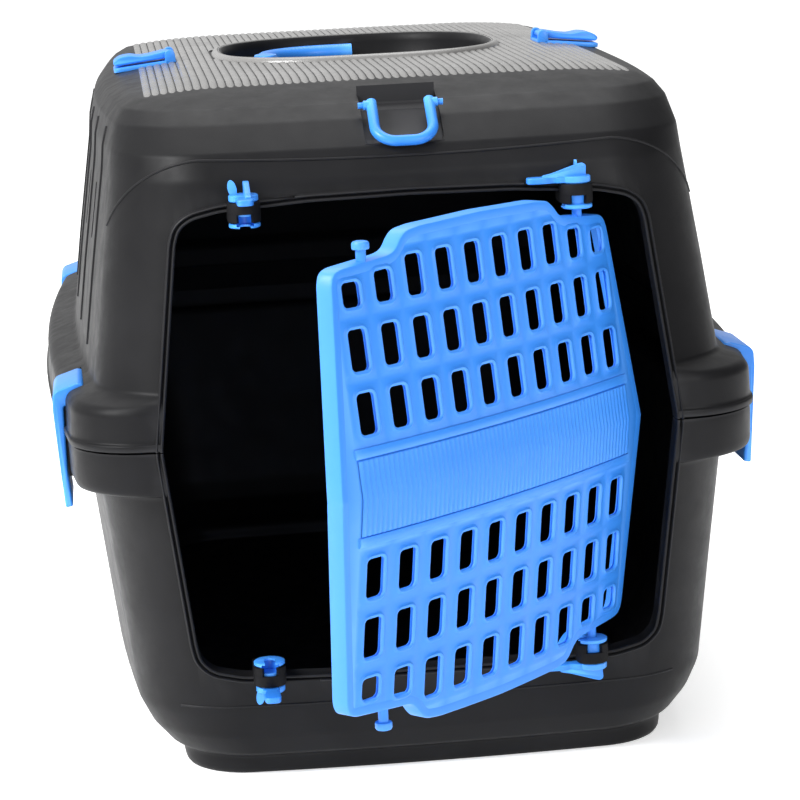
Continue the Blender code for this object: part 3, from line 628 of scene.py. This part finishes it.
linings = []
for _, side, end in LATCHES:
    latch_y = end * LATCH_Y + LATCH_SHIFT
    shelf = slab("shelf", [(side * x, latch_y - SHELF_HALF, z) for x, z in SHELF_LINE],
                 (0.0, 2 * SHELF_HALF, 0.0))
    for target in (upper_skin, shelf):
        boolean(target, lay_along_y(lathe("room", ROOM_LINE, 32),
                                    (side * LATCH_AXIS[0], latch_y, LATCH_AXIS[1])))
        boolean(target, wall_block("mouth", side, end, LATCH_AXIS[0], 0.0240, 0.1905, 0.0195))
    linings.append((shelf, "upper"))
    for skin in (upper_skin, lower_skin):
        boolean(skin, wall_block("notch", side, end, NOTCH_X, NOTCH_HALF))
    for low, high, owner in ((0.1560, SEAM_Z - 0.0004, "lower"), (SEAM_Z + 0.0004, 0.1903, "upper")):
        back = wall_block("back", side, end, 0.1735, LINING_HALF, low, high - low, NOTCH_X)
        inner = latch_y - end * LINING_HALF
        cheek = block("cheek", (side * 0.1740, side * 0.1806), (inner, inner + end * LINING_WALL),
                      low, high - low)
        cap_top = 0.1983 if owner == "upper" else high
        outer = latch_y + end * LINING_HALF
        far_cheek = block("far_cheek", (side * 0.1740, side * 0.1752), (outer, outer - end * LINING_WALL),
                          low, cap_top - low)
        linings.append((join("notch_%s_%d_%d" % (owner, side, end), [back, cheek, far_cheek]), owner))
for lining, owner in linings:
    piece(lining, "body", DARK, owner + "_shell")

# Vents high in the side walls.
VENT_PITCH = 0.063
for index in range(6):
    vent_y = -0.155 + index * VENT_PITCH
    for side in (-1, 1):
        outline = round_corners([(vent_y - 0.0035, 0.268), (vent_y + 0.0035, 0.268),
                                 (vent_y + 0.0035, 0.298), (vent_y - 0.0035, 0.298)], 0.0034)
        boolean(upper_skin, slab("vent", [(side * 0.12, y, z) for y, z in outline], (side * 0.08, 0.0, 0.0)))
for skin, height in ((upper_skin, 0.240), (lower_skin, 0.120)):
    blocked, _, _, _ = skin.ray_cast(Vector((0.03, -0.45, height)), Vector((0.0, 1.0, 0.0)), distance=0.25)
    if blocked:
        raise RuntimeError(skin.name + " has no door opening")
piece(upper_skin, "body", SHELL, "upper_shell", "upper_shell")
piece(lower_skin, "body", SHELL, "lower_shell", "lower_shell")

# A lap on the lower shell closes the seam from the inside.
bm = bmesh.new()
lap_rows = [(z, 0.1664, FRONT_Y + 0.0096, REAR_Y - 0.0048, 0.043, 0.0190, 0.007) for z in (0.1680, 0.1848)]
bridge(bm, [[bm.verts.new(point) for point in plan_loop(*row)] for row in lap_rows])
lap = add_mesh("seam_lap", bm)
solidify(lap, 0.0012, 0.0, False)
boolean(lap, opening_prism("cut_lap"))
for _, side, end in LATCHES:
    boolean(lap, wall_block("notch", side, end, 0.1740, 0.0250), solver="EXACT")
piece(lap, "body", DARK, "lower_shell")


# Moulded beads that follow the skins: the brow over the door, the sill line and the side flutes.
def bead(name, skin, rays, radius, body_slot):
    """A half-buried bead through the points where rays meet a skin."""
    path = []
    for origin, way in rays:
        hit, place, _, _ = skin.ray_cast(Vector(origin), Vector(way))
        if hit:
            path.append(place)
    return piece(tube(name, path, radius, 3), "body", SHELL, body_slot)


brow_x = [-0.098 + 0.196 * i / 40 for i in range(41)]
brow_rays = [((x, -0.45, 0.3162 + 0.0040 * (x / 0.13) ** 2), (0.0, 1.0, 0.0)) for x in brow_x]


def corner_rays(side):
    """Rays towards the middle of a front corner, turning from the front to the side and sinking."""
    rays = []
    for step in range(1, 15):
        angle = math.radians(5.6 * step)
        way = (-side * math.sin(angle), math.cos(angle), 0.0)
        place = (side * 0.0985 - 0.2 * way[0], -0.228 - 0.2 * way[1], 0.3188 - 0.034 * (step / 14) ** 2)
        rays.append((place, way))
    return rays


bead("brow_bead", upper_skin, corner_rays(-1)[::-1] + brow_rays + corner_rays(1), 0.0007, "upper_shell")
sill_rays = [((x * 1.3, -0.45, 0.0400), (0.0, 1.0, 0.0)) for x in brow_x]
bead("sill_bead", lower_skin, sill_rays, 0.0006, "lower_shell")
for side_name, side in SIDES:
    for index in range(7):
        flute_y = -0.1865 + index * VENT_PITCH
        foot = 0.216 + 0.0035 * index
        heights = [foot + (0.330 - foot) * i / 24 for i in range(25)]
        bead("flute_%s_%d" % (side_name, index), upper_skin,
             [((side * 0.30, flute_y, z), (-side, 0.0, 0.0)) for z in heights], 0.0009, "upper_shell")

for tag, low, high in (("lower", 0.0, SEAM_Z - 0.0003), ("upper", SEAM_Z + 0.0003, 0.4)):
    rim = lip("lip_" + tag, low, high)
    foot = SEAM_Z + 0.1219 if tag == "upper" else SEAM_Z - LOWER_DROP - 0.1334
    for side_name, side in SIDES:
        bore(rim, KEEPER_BORE, 0.5, (side * KEEPER_X, KEEPER_Y, 0.0))
        sure_cut(rim, block("relief", (side * (KEEPER_X - 0.0254), side * KEEPER_X),
                            (-0.35, KEEPER_Y + 0.0046), foot, 0.0115), "room for a keeper's lever")
    piece(rim, "body", SHELL, tag + "_shell")
    for side_name, side in SIDES:
        sleeve = collar("collar_%s_%s" % (tag, side_name), side * KEEPER_X, tag == "upper")
        piece(sleeve, "body", DARK, tag + "_shell")

# Roof pocket: raised rim, wall and floor as one skin of oval rings.
pocket_rings = [
    (0.0046, 0.3478), (0.0044, 0.3506), (0.0036, 0.3518), (0.0022, 0.3524), (0.0008, 0.3520),
    (0.0000, 0.3508), (-0.0004, 0.3480), (-0.0010, 0.3395), (-0.0022, 0.3368), (-0.0050, POCKET_FLOOR),
    (-0.0300, POCKET_FLOOR), (-0.0600, POCKET_FLOOR),
]
bm = bmesh.new()
ovals = [[bm.verts.new(p) for p in oval_points(POCKET_X + out, POCKET_Y + out, z)]
         for out, z in pocket_rings]
bridge(bm, ovals)
bm.faces.new(ovals[-1])
pocket = add_mesh("handle_pocket", bm)
solidify(pocket, 0.0016, 0.0, False)
for side in (-1, 1):
    bore(pocket, 0.0033, 0.0090, (0.0, side * 0.0840, HANDLE_Z), upright=False)
piece(pocket, "body", SHELL, "upper_shell")
# A thin sheet just over the pocket's raised rim, in the pale roof colour: painted sheen along the rim's top.
SHEEN_LINE = [(0.0058, 0.3478), (0.0056, 0.3500), (0.0046, 0.3515), (0.0030, 0.3522), (0.0014, 0.3519),
             (0.0004, 0.3508), (0.0006, 0.3490), (0.0030, 0.3478)]
sheen_rings = [[(x, y, z + 0.0011) for x, y, z in oval_points(POCKET_X + out, POCKET_Y + out, z)]
              for out, z in SHEEN_LINE]
sheen_sections = [[ring[index] for ring in sheen_rings] for index in range(len(sheen_rings[0]))]
piece(band("pocket_rim_painted_sheen", sheen_sections), "body", ROOF_PAINTED_SHEEN, "upper_shell")

# Bail recess tub: slanting floor, ledge and back wall.
tub_section = [(0.0198, RECESS_LOW), (0.0225, RECESS_LOW + 0.0002), (0.0255, RECESS_LOW + 0.0018),
               (0.0415, 0.3350), (0.0425, 0.3362), (0.0580, 0.3378), (0.0594, 0.3392), (0.0600, 0.3480)]
bm = bmesh.new()
bridge(bm, [[bm.verts.new((x, FRONT_Y + y, z)) for x in (-RECESS_HALF, RECESS_HALF)]
            for y, z in tub_section], closed=False)
tub = add_mesh("bail_recess_floor", bm)
solidify(tub, 0.0016, 0.0, False)
walls = []
for side in (-1, 1):
    wall_outline = [(0.0206, RECESS_LOW), (0.0600, RECESS_LOW), (0.0612, 0.3432), (0.0510, 0.3402),
                    (0.0372, 0.3334), (0.0252, 0.3252)]
    walls.append(slab("wall", [(side * RECESS_HALF, FRONT_Y + y, z) for y, z in wall_outline],
                      (side * 0.0016, 0.0, 0.0)))
piece(join("bail_recess", [tub] + walls), "body", SHELL, "upper_shell")


# Roof ribs: fine fore-and-aft ridges that follow the crown of the roof.
def roof_height(x, y):
    """Height of the roof skin, or None over an opening or beyond the crown."""
    hit, place, normal, _ = upper_skin.ray_cast(Vector((x, y, 0.5)), Vector((0.0, 0.0, -1.0)))
    return place.z if hit and normal.z > 0.90 and place.z > 0.340 else None


RIB_PITCH = 0.0043
RIB_HEIGHT = 0.00060
PAST_POCKET = 0.0065       # the ribs stop this far from the pocket
OVAL_POWER = 2.63
bm = bmesh.new()
rib_section = [(-0.50, -0.6), (-0.36, 0.25), (-0.20, 0.85), (0.0, 1.0), (0.20, 0.85), (0.36, 0.25),
               (0.50, -0.6)]
rib_rows = [-0.2115 + 0.4285 * i / 48 for i in range(49)]
for index in range(-29, 30):
    rib_x = index * RIB_PITCH
    strip = []
    for y in rib_rows:
        row = []
        sink = 0.0012 if y in (rib_rows[0], rib_rows[-1]) else 0.0
        for share, rise in rib_section:
            x = rib_x + share * RIB_PITCH
            height = roof_height(x, y)
            row.append(None if height is None else (x, y, height + rise * RIB_HEIGHT + 0.0001 - sink))
        strip.append(row)
    for lower, upper in zip(strip, strip[1:]):
        if None in lower or None in upper:
            continue
        y = (lower[0][1] + upper[0][1]) / 2
        if (abs(rib_x / (POCKET_X + PAST_POCKET)) ** OVAL_POWER
                + abs(y / (POCKET_Y + PAST_POCKET)) ** OVAL_POWER < 1.0):
            continue
        if abs(rib_x) < 0.0215 and y < FRONT_Y + 0.064:
            continue
        for step in range(len(lower) - 1):
            corners = (lower[step], lower[step + 1], upper[step + 1], upper[step])
            bm.faces.new([bm.verts.new(p) for p in corners])
ribs = add_mesh("roof_ribs", bm, 60.0)
# The ribs take the painted roof sheen: their pale grey colour stands in for reflected light on the dark
# roof.
piece(ribs, "body", ROOF_PAINTED_SHEEN, "upper_shell")


# ---- door ------------------------------------------------------------------------------------
def door_face(offset, z):
    bow = DOOR_BOW * (offset ** 2 - KEEPER_X ** 2)
    return -(DOOR_FACE - bow - DOOR_LEAN * abs(z - SEAM_Z))


door_place = Matrix.Translation((KEEPER_X, KEEPER_Y, 0.0)) @ Matrix.Rotation(DOOR_OPEN, 4, "Z")


def door_point(x, z, forward=0.0):
    """A point on the door's face, x from its middle, raised forwards."""
    return (x - KEEPER_X, door_face(x, z) - forward, z)


def slot_outline(half_width, low, high, radius, count=4):
    """A rounded rectangle: four corner arcs."""
    points = []
    right = half_width - radius
    top = high - radius
    bottom = low + radius
    for cx, cz, start in ((right, top, 0.0), (-right, top, 90.0), (-right, bottom, 180.0),
                          (right, bottom, 270.0)):
        for step in range(count + 1):
            angle = math.radians(start + 90.0 * step / count)
            points.append((cx + radius * math.cos(angle), cz + radius * math.sin(angle)))
    return points


def cell_outline(half_width, low, high, count=4):
    """The cell's rectangle with as many points as the slot outline, at matching places."""
    points = []
    corners = ((half_width, high), (-half_width, high), (-half_width, low), (half_width, low))
    centre = (low + high) / 2
    for index, (cx, cz) in enumerate(corners):
        for step in range(count + 1):
            share = step / count
            if index % 2 == 0:
                start = (cx, cz + (centre - cz) * 0.4)
                end = (cx * 0.6, cz)
            else:
                start = (cx * 0.6, cz)
                end = (cx, cz + (centre - cz) * 0.4)
            if share < 0.5:
                first, second, way = start, (cx, cz), share * 2
            else:
                first, second, way = (cx, cz), end, share * 2 - 1
            points.append(tuple(a + (b - a) * way for a, b in zip(first, second)))
    return points


SLOT_HALF_W = 0.0053
SLOT_HALF_H = 0.0095
SLOT_CORNER = 0.0024
SHORT = 0.0990             # height from the seam at which the corner slots are cut short
# The raised edge of a slot, as (out from the slot, forwards).
SLOT_EDGE = [(0.0026, 0.0), (0.0020, 0.0004), (0.0013, 0.0009), (0.0007, 0.0008), (0.0, 0.0002)]
bm = bmesh.new()
rows_up = [FIRST_UP + ROW_PITCH * i for i in range(3)]
rows_down = [-(FIRST_DOWN + ROW_PITCH * i) for i in range(3)]
for column in range(10):
    x_mid = SLOT_PITCH * (column - 4.5)
    outer = abs(column - 4.5) > 2.9
    for row, height in enumerate(rows_up + rows_down):
        low = height - ROW_PITCH / 2
        high = height + ROW_PITCH / 2
        slot_low = height - SLOT_HALF_H
        slot_high = height + SLOT_HALF_H
        if outer and row == 2:
            slot_high = SHORT + 0.0016 - (0.003 if abs(column - 4.5) > 4 else 0.0)
        if outer and row == 5:
            slot_low = -SHORT - 0.0016 + (0.003 if abs(column - 4.5) > 4 else 0.0)
        cell = cell_outline(SLOT_PITCH / 2, low, high)
        rings = [(cell, 0.0)]
        for grow, rise in SLOT_EDGE:
            outline = slot_outline(SLOT_HALF_W + grow, slot_low - grow, slot_high + grow, SLOT_CORNER + grow)
            rings.append((outline, rise))
        loops = []
        bridge(bm, [[bm.verts.new(door_point(x_mid + x, SEAM_Z + z, rise)) for x, z in outline]
                    for outline, rise in rings])


def patch(x_values, z_values):
    """A plain part of the door's face."""
    bridge(bm, [[bm.verts.new(door_point(x, SEAM_Z + z)) for x in x_values] for z in z_values], closed=False)


def spread(start, end, parts):
    return [start + (end - start) * i / parts for i in range(parts + 1)]


top_edge = rows_up[-1] + ROW_PITCH / 2
bottom_edge = rows_down[-1] - ROW_PITCH / 2
field = 5 * SLOT_PITCH
band_top = rows_up[0] - ROW_PITCH / 2
band_low = rows_down[0] + ROW_PITCH / 2
patch(spread(-field, field, 40), [band_low, band_low / 2, 0.0, band_top / 2, band_top])
patch(spread(-field, field, 40), spread(top_edge, 0.122, 2))
patch(spread(-field, field, 40), spread(-0.1225, bottom_edge, 2))
side_rows = spread(-0.1225, 0.0, 10) + spread(0.0, 0.122, 10)[1:]
patch(spread(-0.130, -field, 4), side_rows)
patch(spread(field, 0.130, 4), side_rows)
bmesh.ops.remove_doubles(bm, verts=bm.verts, dist=1e-5)
bmesh.ops.recalc_face_normals(bm, faces=bm.faces)
bm.faces.ensure_lookup_table()
if sum(face.normal.y for face in bm.faces) > 0:
    bmesh.ops.reverse_faces(bm, faces=bm.faces)
lattice = link("door_lattice", mesh_from("door_lattice", bm))
solidify(lattice, 0.0028, -1.0, False)
door_outline = resample(round_corners(mirrored(DOOR_HALF), 0.0030), 0.006)
trim = slab("door_trim", [(x - KEEPER_X, -0.05, z) for x, z in offset_outline(door_outline, -0.0015)],
            (0.0, 0.10, 0.0))
boolean(lattice, trim, "INTERSECT")

# Rim of the door: flat border, inner step and a flange that reaches back.
RIM_SECTION = [(-0.0064, -0.0012), (-0.0060, -0.0004), (-0.0054, 0.0004), (-0.0045, 0.0006),
               (-0.0014, 0.0007), (-0.0005, 0.0004), (0.0000, -0.0004), (0.0000, -0.0082),
               (-0.0004, -0.0087), (-0.0016, -0.0087), (-0.0021, -0.0082), (-0.0024, -0.0030)]
rim_edges = [offset_outline(door_outline, out) for out, _ in RIM_SECTION]
rim_rings = []
for index in range(len(door_outline)):
    face_y = door_face(*door_outline[index])
    rim_rings.append([(edge[index][0] - KEEPER_X, face_y - forward, edge[index][1])
                      for edge, (_, forward) in zip(rim_edges, RIM_SECTION)])
rim = band("door_rim", rim_rings)

# Ribbed band across the middle.
BAND_HALF = 0.0180
BAND_SIDE = 0.1035
RIBS = 66
bm = bmesh.new()
rib_shape = [(-0.5, 0.0), (-0.25, 0.5), (0.0, 0.62), (0.25, 0.5)]
band_x = []
pitch = 2 * BAND_SIDE / RIBS
for index in range(RIBS):
    centre_x = -BAND_SIDE + 2 * BAND_SIDE * (index + 0.5) / RIBS
    for share, rise in rib_shape:
        band_x.append((centre_x + share * pitch, 0.0008 + rise * 0.0008))
band_x.append((BAND_SIDE, 0.0008))
band_z = [(-BAND_HALF, -0.0010), (-BAND_HALF + 0.0006, 0.0), (-BAND_HALF / 2, 0.0), (0.0, 0.0),
          (BAND_HALF / 2, 0.0), (BAND_HALF - 0.0006, 0.0), (BAND_HALF, -0.0010)]
bridge(bm, [[bm.verts.new(door_point(x, SEAM_Z + z, rise + drop)) for x, rise in band_x]
            for z, drop in band_z], closed=False)
ribbed = add_mesh("door_band", bm, 50.0)
strips = []
strip_section = [(-0.0026, -0.0006), (-0.0022, 0.0009), (-0.0010, 0.0014), (0.0010, 0.0014),
                 (0.0022, 0.0009), (0.0026, -0.0006)]
strip_x = spread(-BAND_SIDE - 0.0010, BAND_SIDE + 0.0010, 48)
for z_mid in (0.0205, -0.0205):
    bm = bmesh.new()
    grid = [[bm.verts.new(door_point(x, SEAM_Z + z_mid + z, rise)) for x in strip_x]
            for z, rise in strip_section]
    bridge(bm, grid, closed=False)
    bm.faces.new([row[0] for row in grid])
    bm.faces.new([row[-1] for row in reversed(grid)])
    strips.append(add_mesh("strip", bm, 50.0))


def pin(name, x, upward):
    profile = [(0.0, 0.1020), (0.0024, 0.1020), (0.0024, 0.1106), (0.0030, 0.1108), (0.0039, 0.1110),
               (0.0041, 0.1115), (0.0041, 0.1136), (0.0036, 0.1144), (0.0024, 0.1148), (0.0, 0.1149)]
    return flip_to_level(lathe(name, profile, 32), upward, x, 0.0)


pins = [pin("pin", x, upward) for x in (0.0, -2 * KEEPER_X) for upward in (False, True)]
door_panel = join("door_panel", [lattice, rim, ribbed] + strips + pins)
move_mesh(door_panel, door_place)
piece(door_panel, "door", BLUE_DOOR, "door", "door")


# ---- keepers ---------------------------------------------------------------------------------
def keeper(name, x, upward, angle):
    barrel = lathe("barrel", [(0.0, 0.1093), (0.0070, 0.1093), (0.0078, 0.1098), (0.0078, 0.1112),
                              (0.0072, 0.1117), (0.0057, 0.1118), (0.0057, 0.1228), (0.0, 0.1228)], 48)
    for half, low, high in ((0.0027, 0.1080, 0.1104), (0.0043, 0.1103, 0.1151)):
        boolean(barrel, rod("hole", half, low, high), solver="EXACT")
        boolean(barrel, block("slot", (-half, half), (-0.02, 0.0), low, high - low), solver="EXACT")
    slotted, _, _, _ = barrel.ray_cast(Vector((0.0, -0.02, 0.1098)), Vector((0.0, 1.0, 0.0)), distance=0.019)
    if slotted:
        raise RuntimeError(name + " has no slot for the door's pin")
    half_line = [(-0.0040, 0.0052), (-0.0042, -0.0086), (-0.0027, -0.0112), (-0.0036, -0.0138),
                 (-0.0042, -0.0160), (-0.0040, -0.0225), (-0.0026, -0.0245)]
    outline = half_line + [(-px, py) for px, py in reversed(half_line)]
    lever = slab("lever", [(px, py, 0.1223) for px, py in round_corners(outline, 0.0016, 3)],
                 (0.0, 0.0, 0.0030))
    bevel(lever, 0.0006, 3, 50)
    hub = lathe("hub", [(0.0, 0.1221), (0.0068, 0.1221), (0.0073, 0.1226), (0.0073, 0.1250),
                        (0.0068, 0.1255), (0.0, 0.1256)], 40)
    fin_outline = [(-0.0170, 0.1248), (0.0046, 0.1248), (0.0050, 0.1306), (0.0034, 0.1318), (0.0012, 0.1314),
                   (-0.0120, 0.1272), (-0.0170, 0.1262)]
    fin = slab("fin", [(0.0002, y, z) for y, z in round_corners(fin_outline, 0.0012, 3)], (0.0030, 0.0, 0.0))
    bevel(fin, 0.0005, 2, 50)
    turns = [2 * math.pi * i / 24 for i in range(24)]
    leaf_outline = [(-0.0052 + 0.0022 * math.cos(turn) - 0.0006 * math.sin(turn),
                     0.1284 + 0.0042 * math.sin(turn)) for turn in turns]
    leaf = slab("leaf", [(px, 0.0004, z) for px, z in leaf_outline], (0.0, 0.0012, 0.0))
    whole = join(name + "_body", [barrel, lever, hub, fin, leaf])
    flip_to_level(whole, upward, x, KEEPER_Y, angle)
    return piece(whole, name, BLUE, name, name)


for tag, upward in (("upper", True), ("lower", False)):
    keeper("keeper_%s_left" % tag, -KEEPER_X, upward, 0.0)
for tag, upward in (("upper", True), ("lower", False)):
    keeper("keeper_%s_right" % tag, KEEPER_X, upward, -math.pi / 2)

# ---- latches ---------------------------------------------------------------------------------
LATCH_OUTLINE = [
    (0.1760, 0.1392), (0.1800, 0.1385), (0.1812, 0.1560), (0.1833, 0.1900), (0.1829, 0.1975),
    (0.1812, 0.2000), (0.1700, 0.2036), (0.1672, 0.2028), (0.1660, 0.2000), (0.1662, 0.1940),
    (0.1690, 0.1918), (0.1776, 0.1918), (0.1776, 0.1560),
]
for label, side, end in LATCHES:
    latch_y = end * LATCH_Y + LATCH_SHIFT
    outline = round_corners(LATCH_OUTLINE, 0.0010, 2)
    plate = slab("plate", [(side * x, latch_y - 0.0230, z) for x, z in outline], (0.0, 0.0460, 0.0))
    bevel(plate, 0.0012, 3, 60)
    axle = lay_along_y(rod("axle", 0.0014, -0.0256, 0.0256, 20),
                       (side * LATCH_AXIS[0], latch_y, LATCH_AXIS[1]))
    name = "latch_" + label
    piece(join(name + "_plate", [plate, axle]), name, BLUE, name, name)


# ---- bail and handle -------------------------------------------------------------------------
def loop_path(half, reach, corner, start, direction, across, steps=14):
    """The path of a U-shaped bar from one end to the other."""
    places = [(-half, 0.0), (-half, (reach - corner) * 0.5)]
    for centre, begin in ((-half + corner, math.pi), (half - corner, 1.5 * math.pi)):
        for step in range(steps + 1):
            angle = begin + step * math.pi / 2 / steps
            places.append((centre + corner * math.cos(angle), reach - corner - corner * math.sin(angle)))
    places += [(half, (reach - corner) * 0.5), (half, 0.0)]
    return [start + across * side + direction * out for side, out in places]


bail_way = Vector((0.0, BAIL_END[0] - BAIL_AXIS[0], BAIL_END[1] - BAIL_AXIS[1]))
bail_dir = bail_way.normalized()
bail_start = Vector((0.0, *BAIL_AXIS)) - bail_dir * 0.0022
bail_path = loop_path(0.0145, bail_way.length + 0.0022, 0.0105, bail_start, bail_dir, Vector((1, 0, 0)))
bail_parts = [tube("bar", bail_path, 0.0027)]
for side in (-1, 1):
    stub = lathe("stub", [(0.0, 0.0), (0.0024, 0.0), (0.0024, 0.0050), (0.0016, 0.0054),
                          (0.0016, 0.0078), (0.0, 0.0078)], 24)
    turn = Matrix.Rotation(side * math.pi / 2, 4, "Y")
    bail_parts.append(move_mesh(stub, Matrix.Translation((side * 0.0135, *BAIL_AXIS)) @ turn))
piece(join("front_bail_loop", bail_parts), "front_bail", BLUE, "front_bail", "front_bail")

grip_path = loop_path(0.0800, 0.0560, 0.0400, Vector((0.0050, 0.0, HANDLE_Z)), Vector((-1, 0, 0)),
                      Vector((0, -1, 0)), 20)
parts = [tube("grip", grip_path, 0.0048)]
for side in (-1, 1):
    stub = lathe("stub", [(0.0, 0.0), (0.0030, 0.0), (0.0030, 0.0128), (0.0024, 0.0134), (0.0, 0.0134)], 24)
    turn = Matrix.Rotation(-side * math.pi / 2, 4, "X")
    parts.append(move_mesh(stub, Matrix.Translation((0.0, side * 0.0780, HANDLE_Z)) @ turn))
bump = lathe("bump", [(0.0, -0.0050), (0.8, -0.0050), (1.0, -0.0020), (1.0, 0.0046), (0.9, 0.0062),
                      (0.6, 0.0066), (0.0, 0.0066)], 40)
move_mesh(bump, Matrix.Translation((-0.0520, 0.0, HANDLE_Z)) @ Matrix.Diagonal((0.0070, 0.0120, 1, 1)))
parts.append(bump)
piece(join("carry_handle_bar", parts), "carry_handle", BLUE, "carry_handle", "carry_handle")

# ---- strap clips -----------------------------------------------------------------------------
EAR_LINE = [(0.0180, 0.001), (0.0118, 0.001), (0.0122, 0.0070), (0.0140, 0.0084), (0.0165, 0.0084),
            (0.0180, 0.0066)]
FLAP_LINE = [(0.0166, 0.0039), (0.0168, 0.0068), (0.0130, 0.0080), (0.0030, 0.0070), (-0.0020, 0.0070),
             (-0.0080, 0.0086), (-0.0135, 0.0084), (-0.0172, 0.0066), (-0.0178, 0.0048), (-0.0165, 0.0036)]
for tag, side in SIDES:
    tilt = Matrix.Rotation(side * CLIP_TILT, 4, "Y")
    tilt = Matrix.Translation((side * CLIP_X, CLIP_Y, CLIP_BASE_Z)) @ tilt
    outline = round_corners([(-0.0180, -0.0150), (0.0180, -0.0150), (0.0180, 0.0150), (-0.0180, 0.0150)],
                            0.0040, 4)
    base = slab("base", [(x, y, 0.0) for x, y in outline], (0.0, 0.0, 0.0026))
    bevel(base, 0.0006, 2, 50)
    parts = [base]
    for edge in (-1, 1):
        ear_outline = round_corners([(-side * x, z) for x, z in EAR_LINE], 0.0010, 2)
        ear = slab("ear", [(x, edge * 0.0118, z) for x, z in ear_outline], (0.0, edge * 0.0032, 0.0))
        bore(ear, 0.0014, 0.0018, (-side * 0.0150, edge * 0.0128, 0.0056), upright=False)
        parts.append(bevel(ear, 0.0005, 2, 60))
    base = join("belt_clip_base_%s_plate" % tag, parts)
    move_mesh(base, tilt)
    name = "belt_clip_base_" + tag
    piece(base, "body", BLUE, name, name)
    flap_outline = round_corners([(-side * x, z) for x, z in FLAP_LINE], 0.0015, 3)
    flap = slab("flap", [(x, -0.0112, z) for x, z in flap_outline], (0.0, 0.0224, 0.0))
    bevel(flap, 0.0010, 3, 60)
    axle = lay_along_y(rod("axle", 0.0011, -0.0144, 0.0144, 16), (-side * 0.0150, 0.0, 0.0056))
    flap = join("belt_clip_flap_%s_plate" % tag, [flap, axle])
    move_mesh(flap, tilt)
    name = "belt_clip_flap_" + tag
    piece(flap, name, BLUE, name, name)

# ---- floor, light and camera -----------------------------------------------------------------
FLOOR_GLOW = 0.50
bm = bmesh.new()
bmesh.ops.create_grid(bm, x_segments=8, y_segments=8, size=60.0)
ground = add_mesh("floor", bm)
ground.location = (0.0, 0.0, -0.0005)
ground_material = bpy.data.materials.new("pale_floor")
ground_material.use_nodes = True
set_inputs(ground_material.node_tree.nodes["Principled BSDF"],
           {"Base Color": (0.90, 0.90, 0.90, 1.0), "Roughness": 0.9,
            "Emission Color": (1.0, 1.0, 1.0, 1.0), "Emission Strength": FLOOR_GLOW})
ground.data.materials.append(ground_material)

world = bpy.data.worlds.new("studio")
bpy.context.scene.world = world
world.use_nodes = True
sky_nodes = world.node_tree.nodes
sky_links = world.node_tree.links
sky_place = sky_nodes.new("ShaderNodeTexCoord")
sky_axes = sky_nodes.new("ShaderNodeSeparateXYZ")
sky_fade = sky_nodes.new("ShaderNodeMapRange")
set_inputs(sky_fade, {"From Min": 0.10, "From Max": 0.80, "To Min": 0.80, "To Max": 0.12})
sky_links.new(sky_place.outputs["Generated"], sky_axes.inputs["Vector"])
sky_links.new(sky_axes.outputs["X"], sky_fade.inputs["Value"])
sky_links.new(sky_fade.outputs["Result"], sky_nodes["Background"].inputs["Color"])
sky_nodes["Background"].inputs["Strength"].default_value = 1.0
bpy.context.scene.view_settings.view_transform = "Standard"


def area_light(name, place, target, size, power):
    data = bpy.data.lights.new(name, "AREA")
    data.size = size
    data.energy = power
    obj = link(name, data)
    obj.location = place
    obj.rotation_mode = "QUATERNION"
    obj.rotation_quaternion = (Vector(target) - Vector(place)).to_track_quat("-Z", "Y")


area_light("key_light", (-1.6, -1.0, 1.6), (-0.1, -0.2, 0.28), 0.9, 62.0)
area_light("front_light", (0.9, -2.2, 1.0), (0.0, -0.3, 0.2), 0.8, 16.0)
area_light("top_light", (0.0, 0.7, 2.4), (0.0, 0.1, 0.2), 2.0, 40.0)

CAMERA_PLACE = Vector((-0.1439, -1.7254, 0.4703))
YAW = 0.09320
PITCH = 0.18863
ROLL = 0.04688
LENS = 132.4566            # mm, on a 36 mm sensor
forward = Vector((math.sin(YAW) * math.cos(PITCH), math.cos(YAW) * math.cos(PITCH), -math.sin(PITCH)))
right = Vector((math.cos(YAW), -math.sin(YAW), 0.0))
upward = right.cross(forward)
right_rolled = right * math.cos(ROLL) - upward * math.sin(ROLL)
up_rolled = upward * math.cos(ROLL) + right * math.sin(ROLL)
camera_data = bpy.data.cameras.new("camera")
camera_data.sensor_width = 36.0
camera_data.lens = LENS
camera_data.clip_start = 0.05
camera = link("camera", camera_data)
axes = Matrix((right_rolled, up_rolled, -forward)).transposed().to_4x4()
camera.matrix_world = Matrix.Translation(CAMERA_PLACE) @ axes
bpy.context.scene.camera = camera
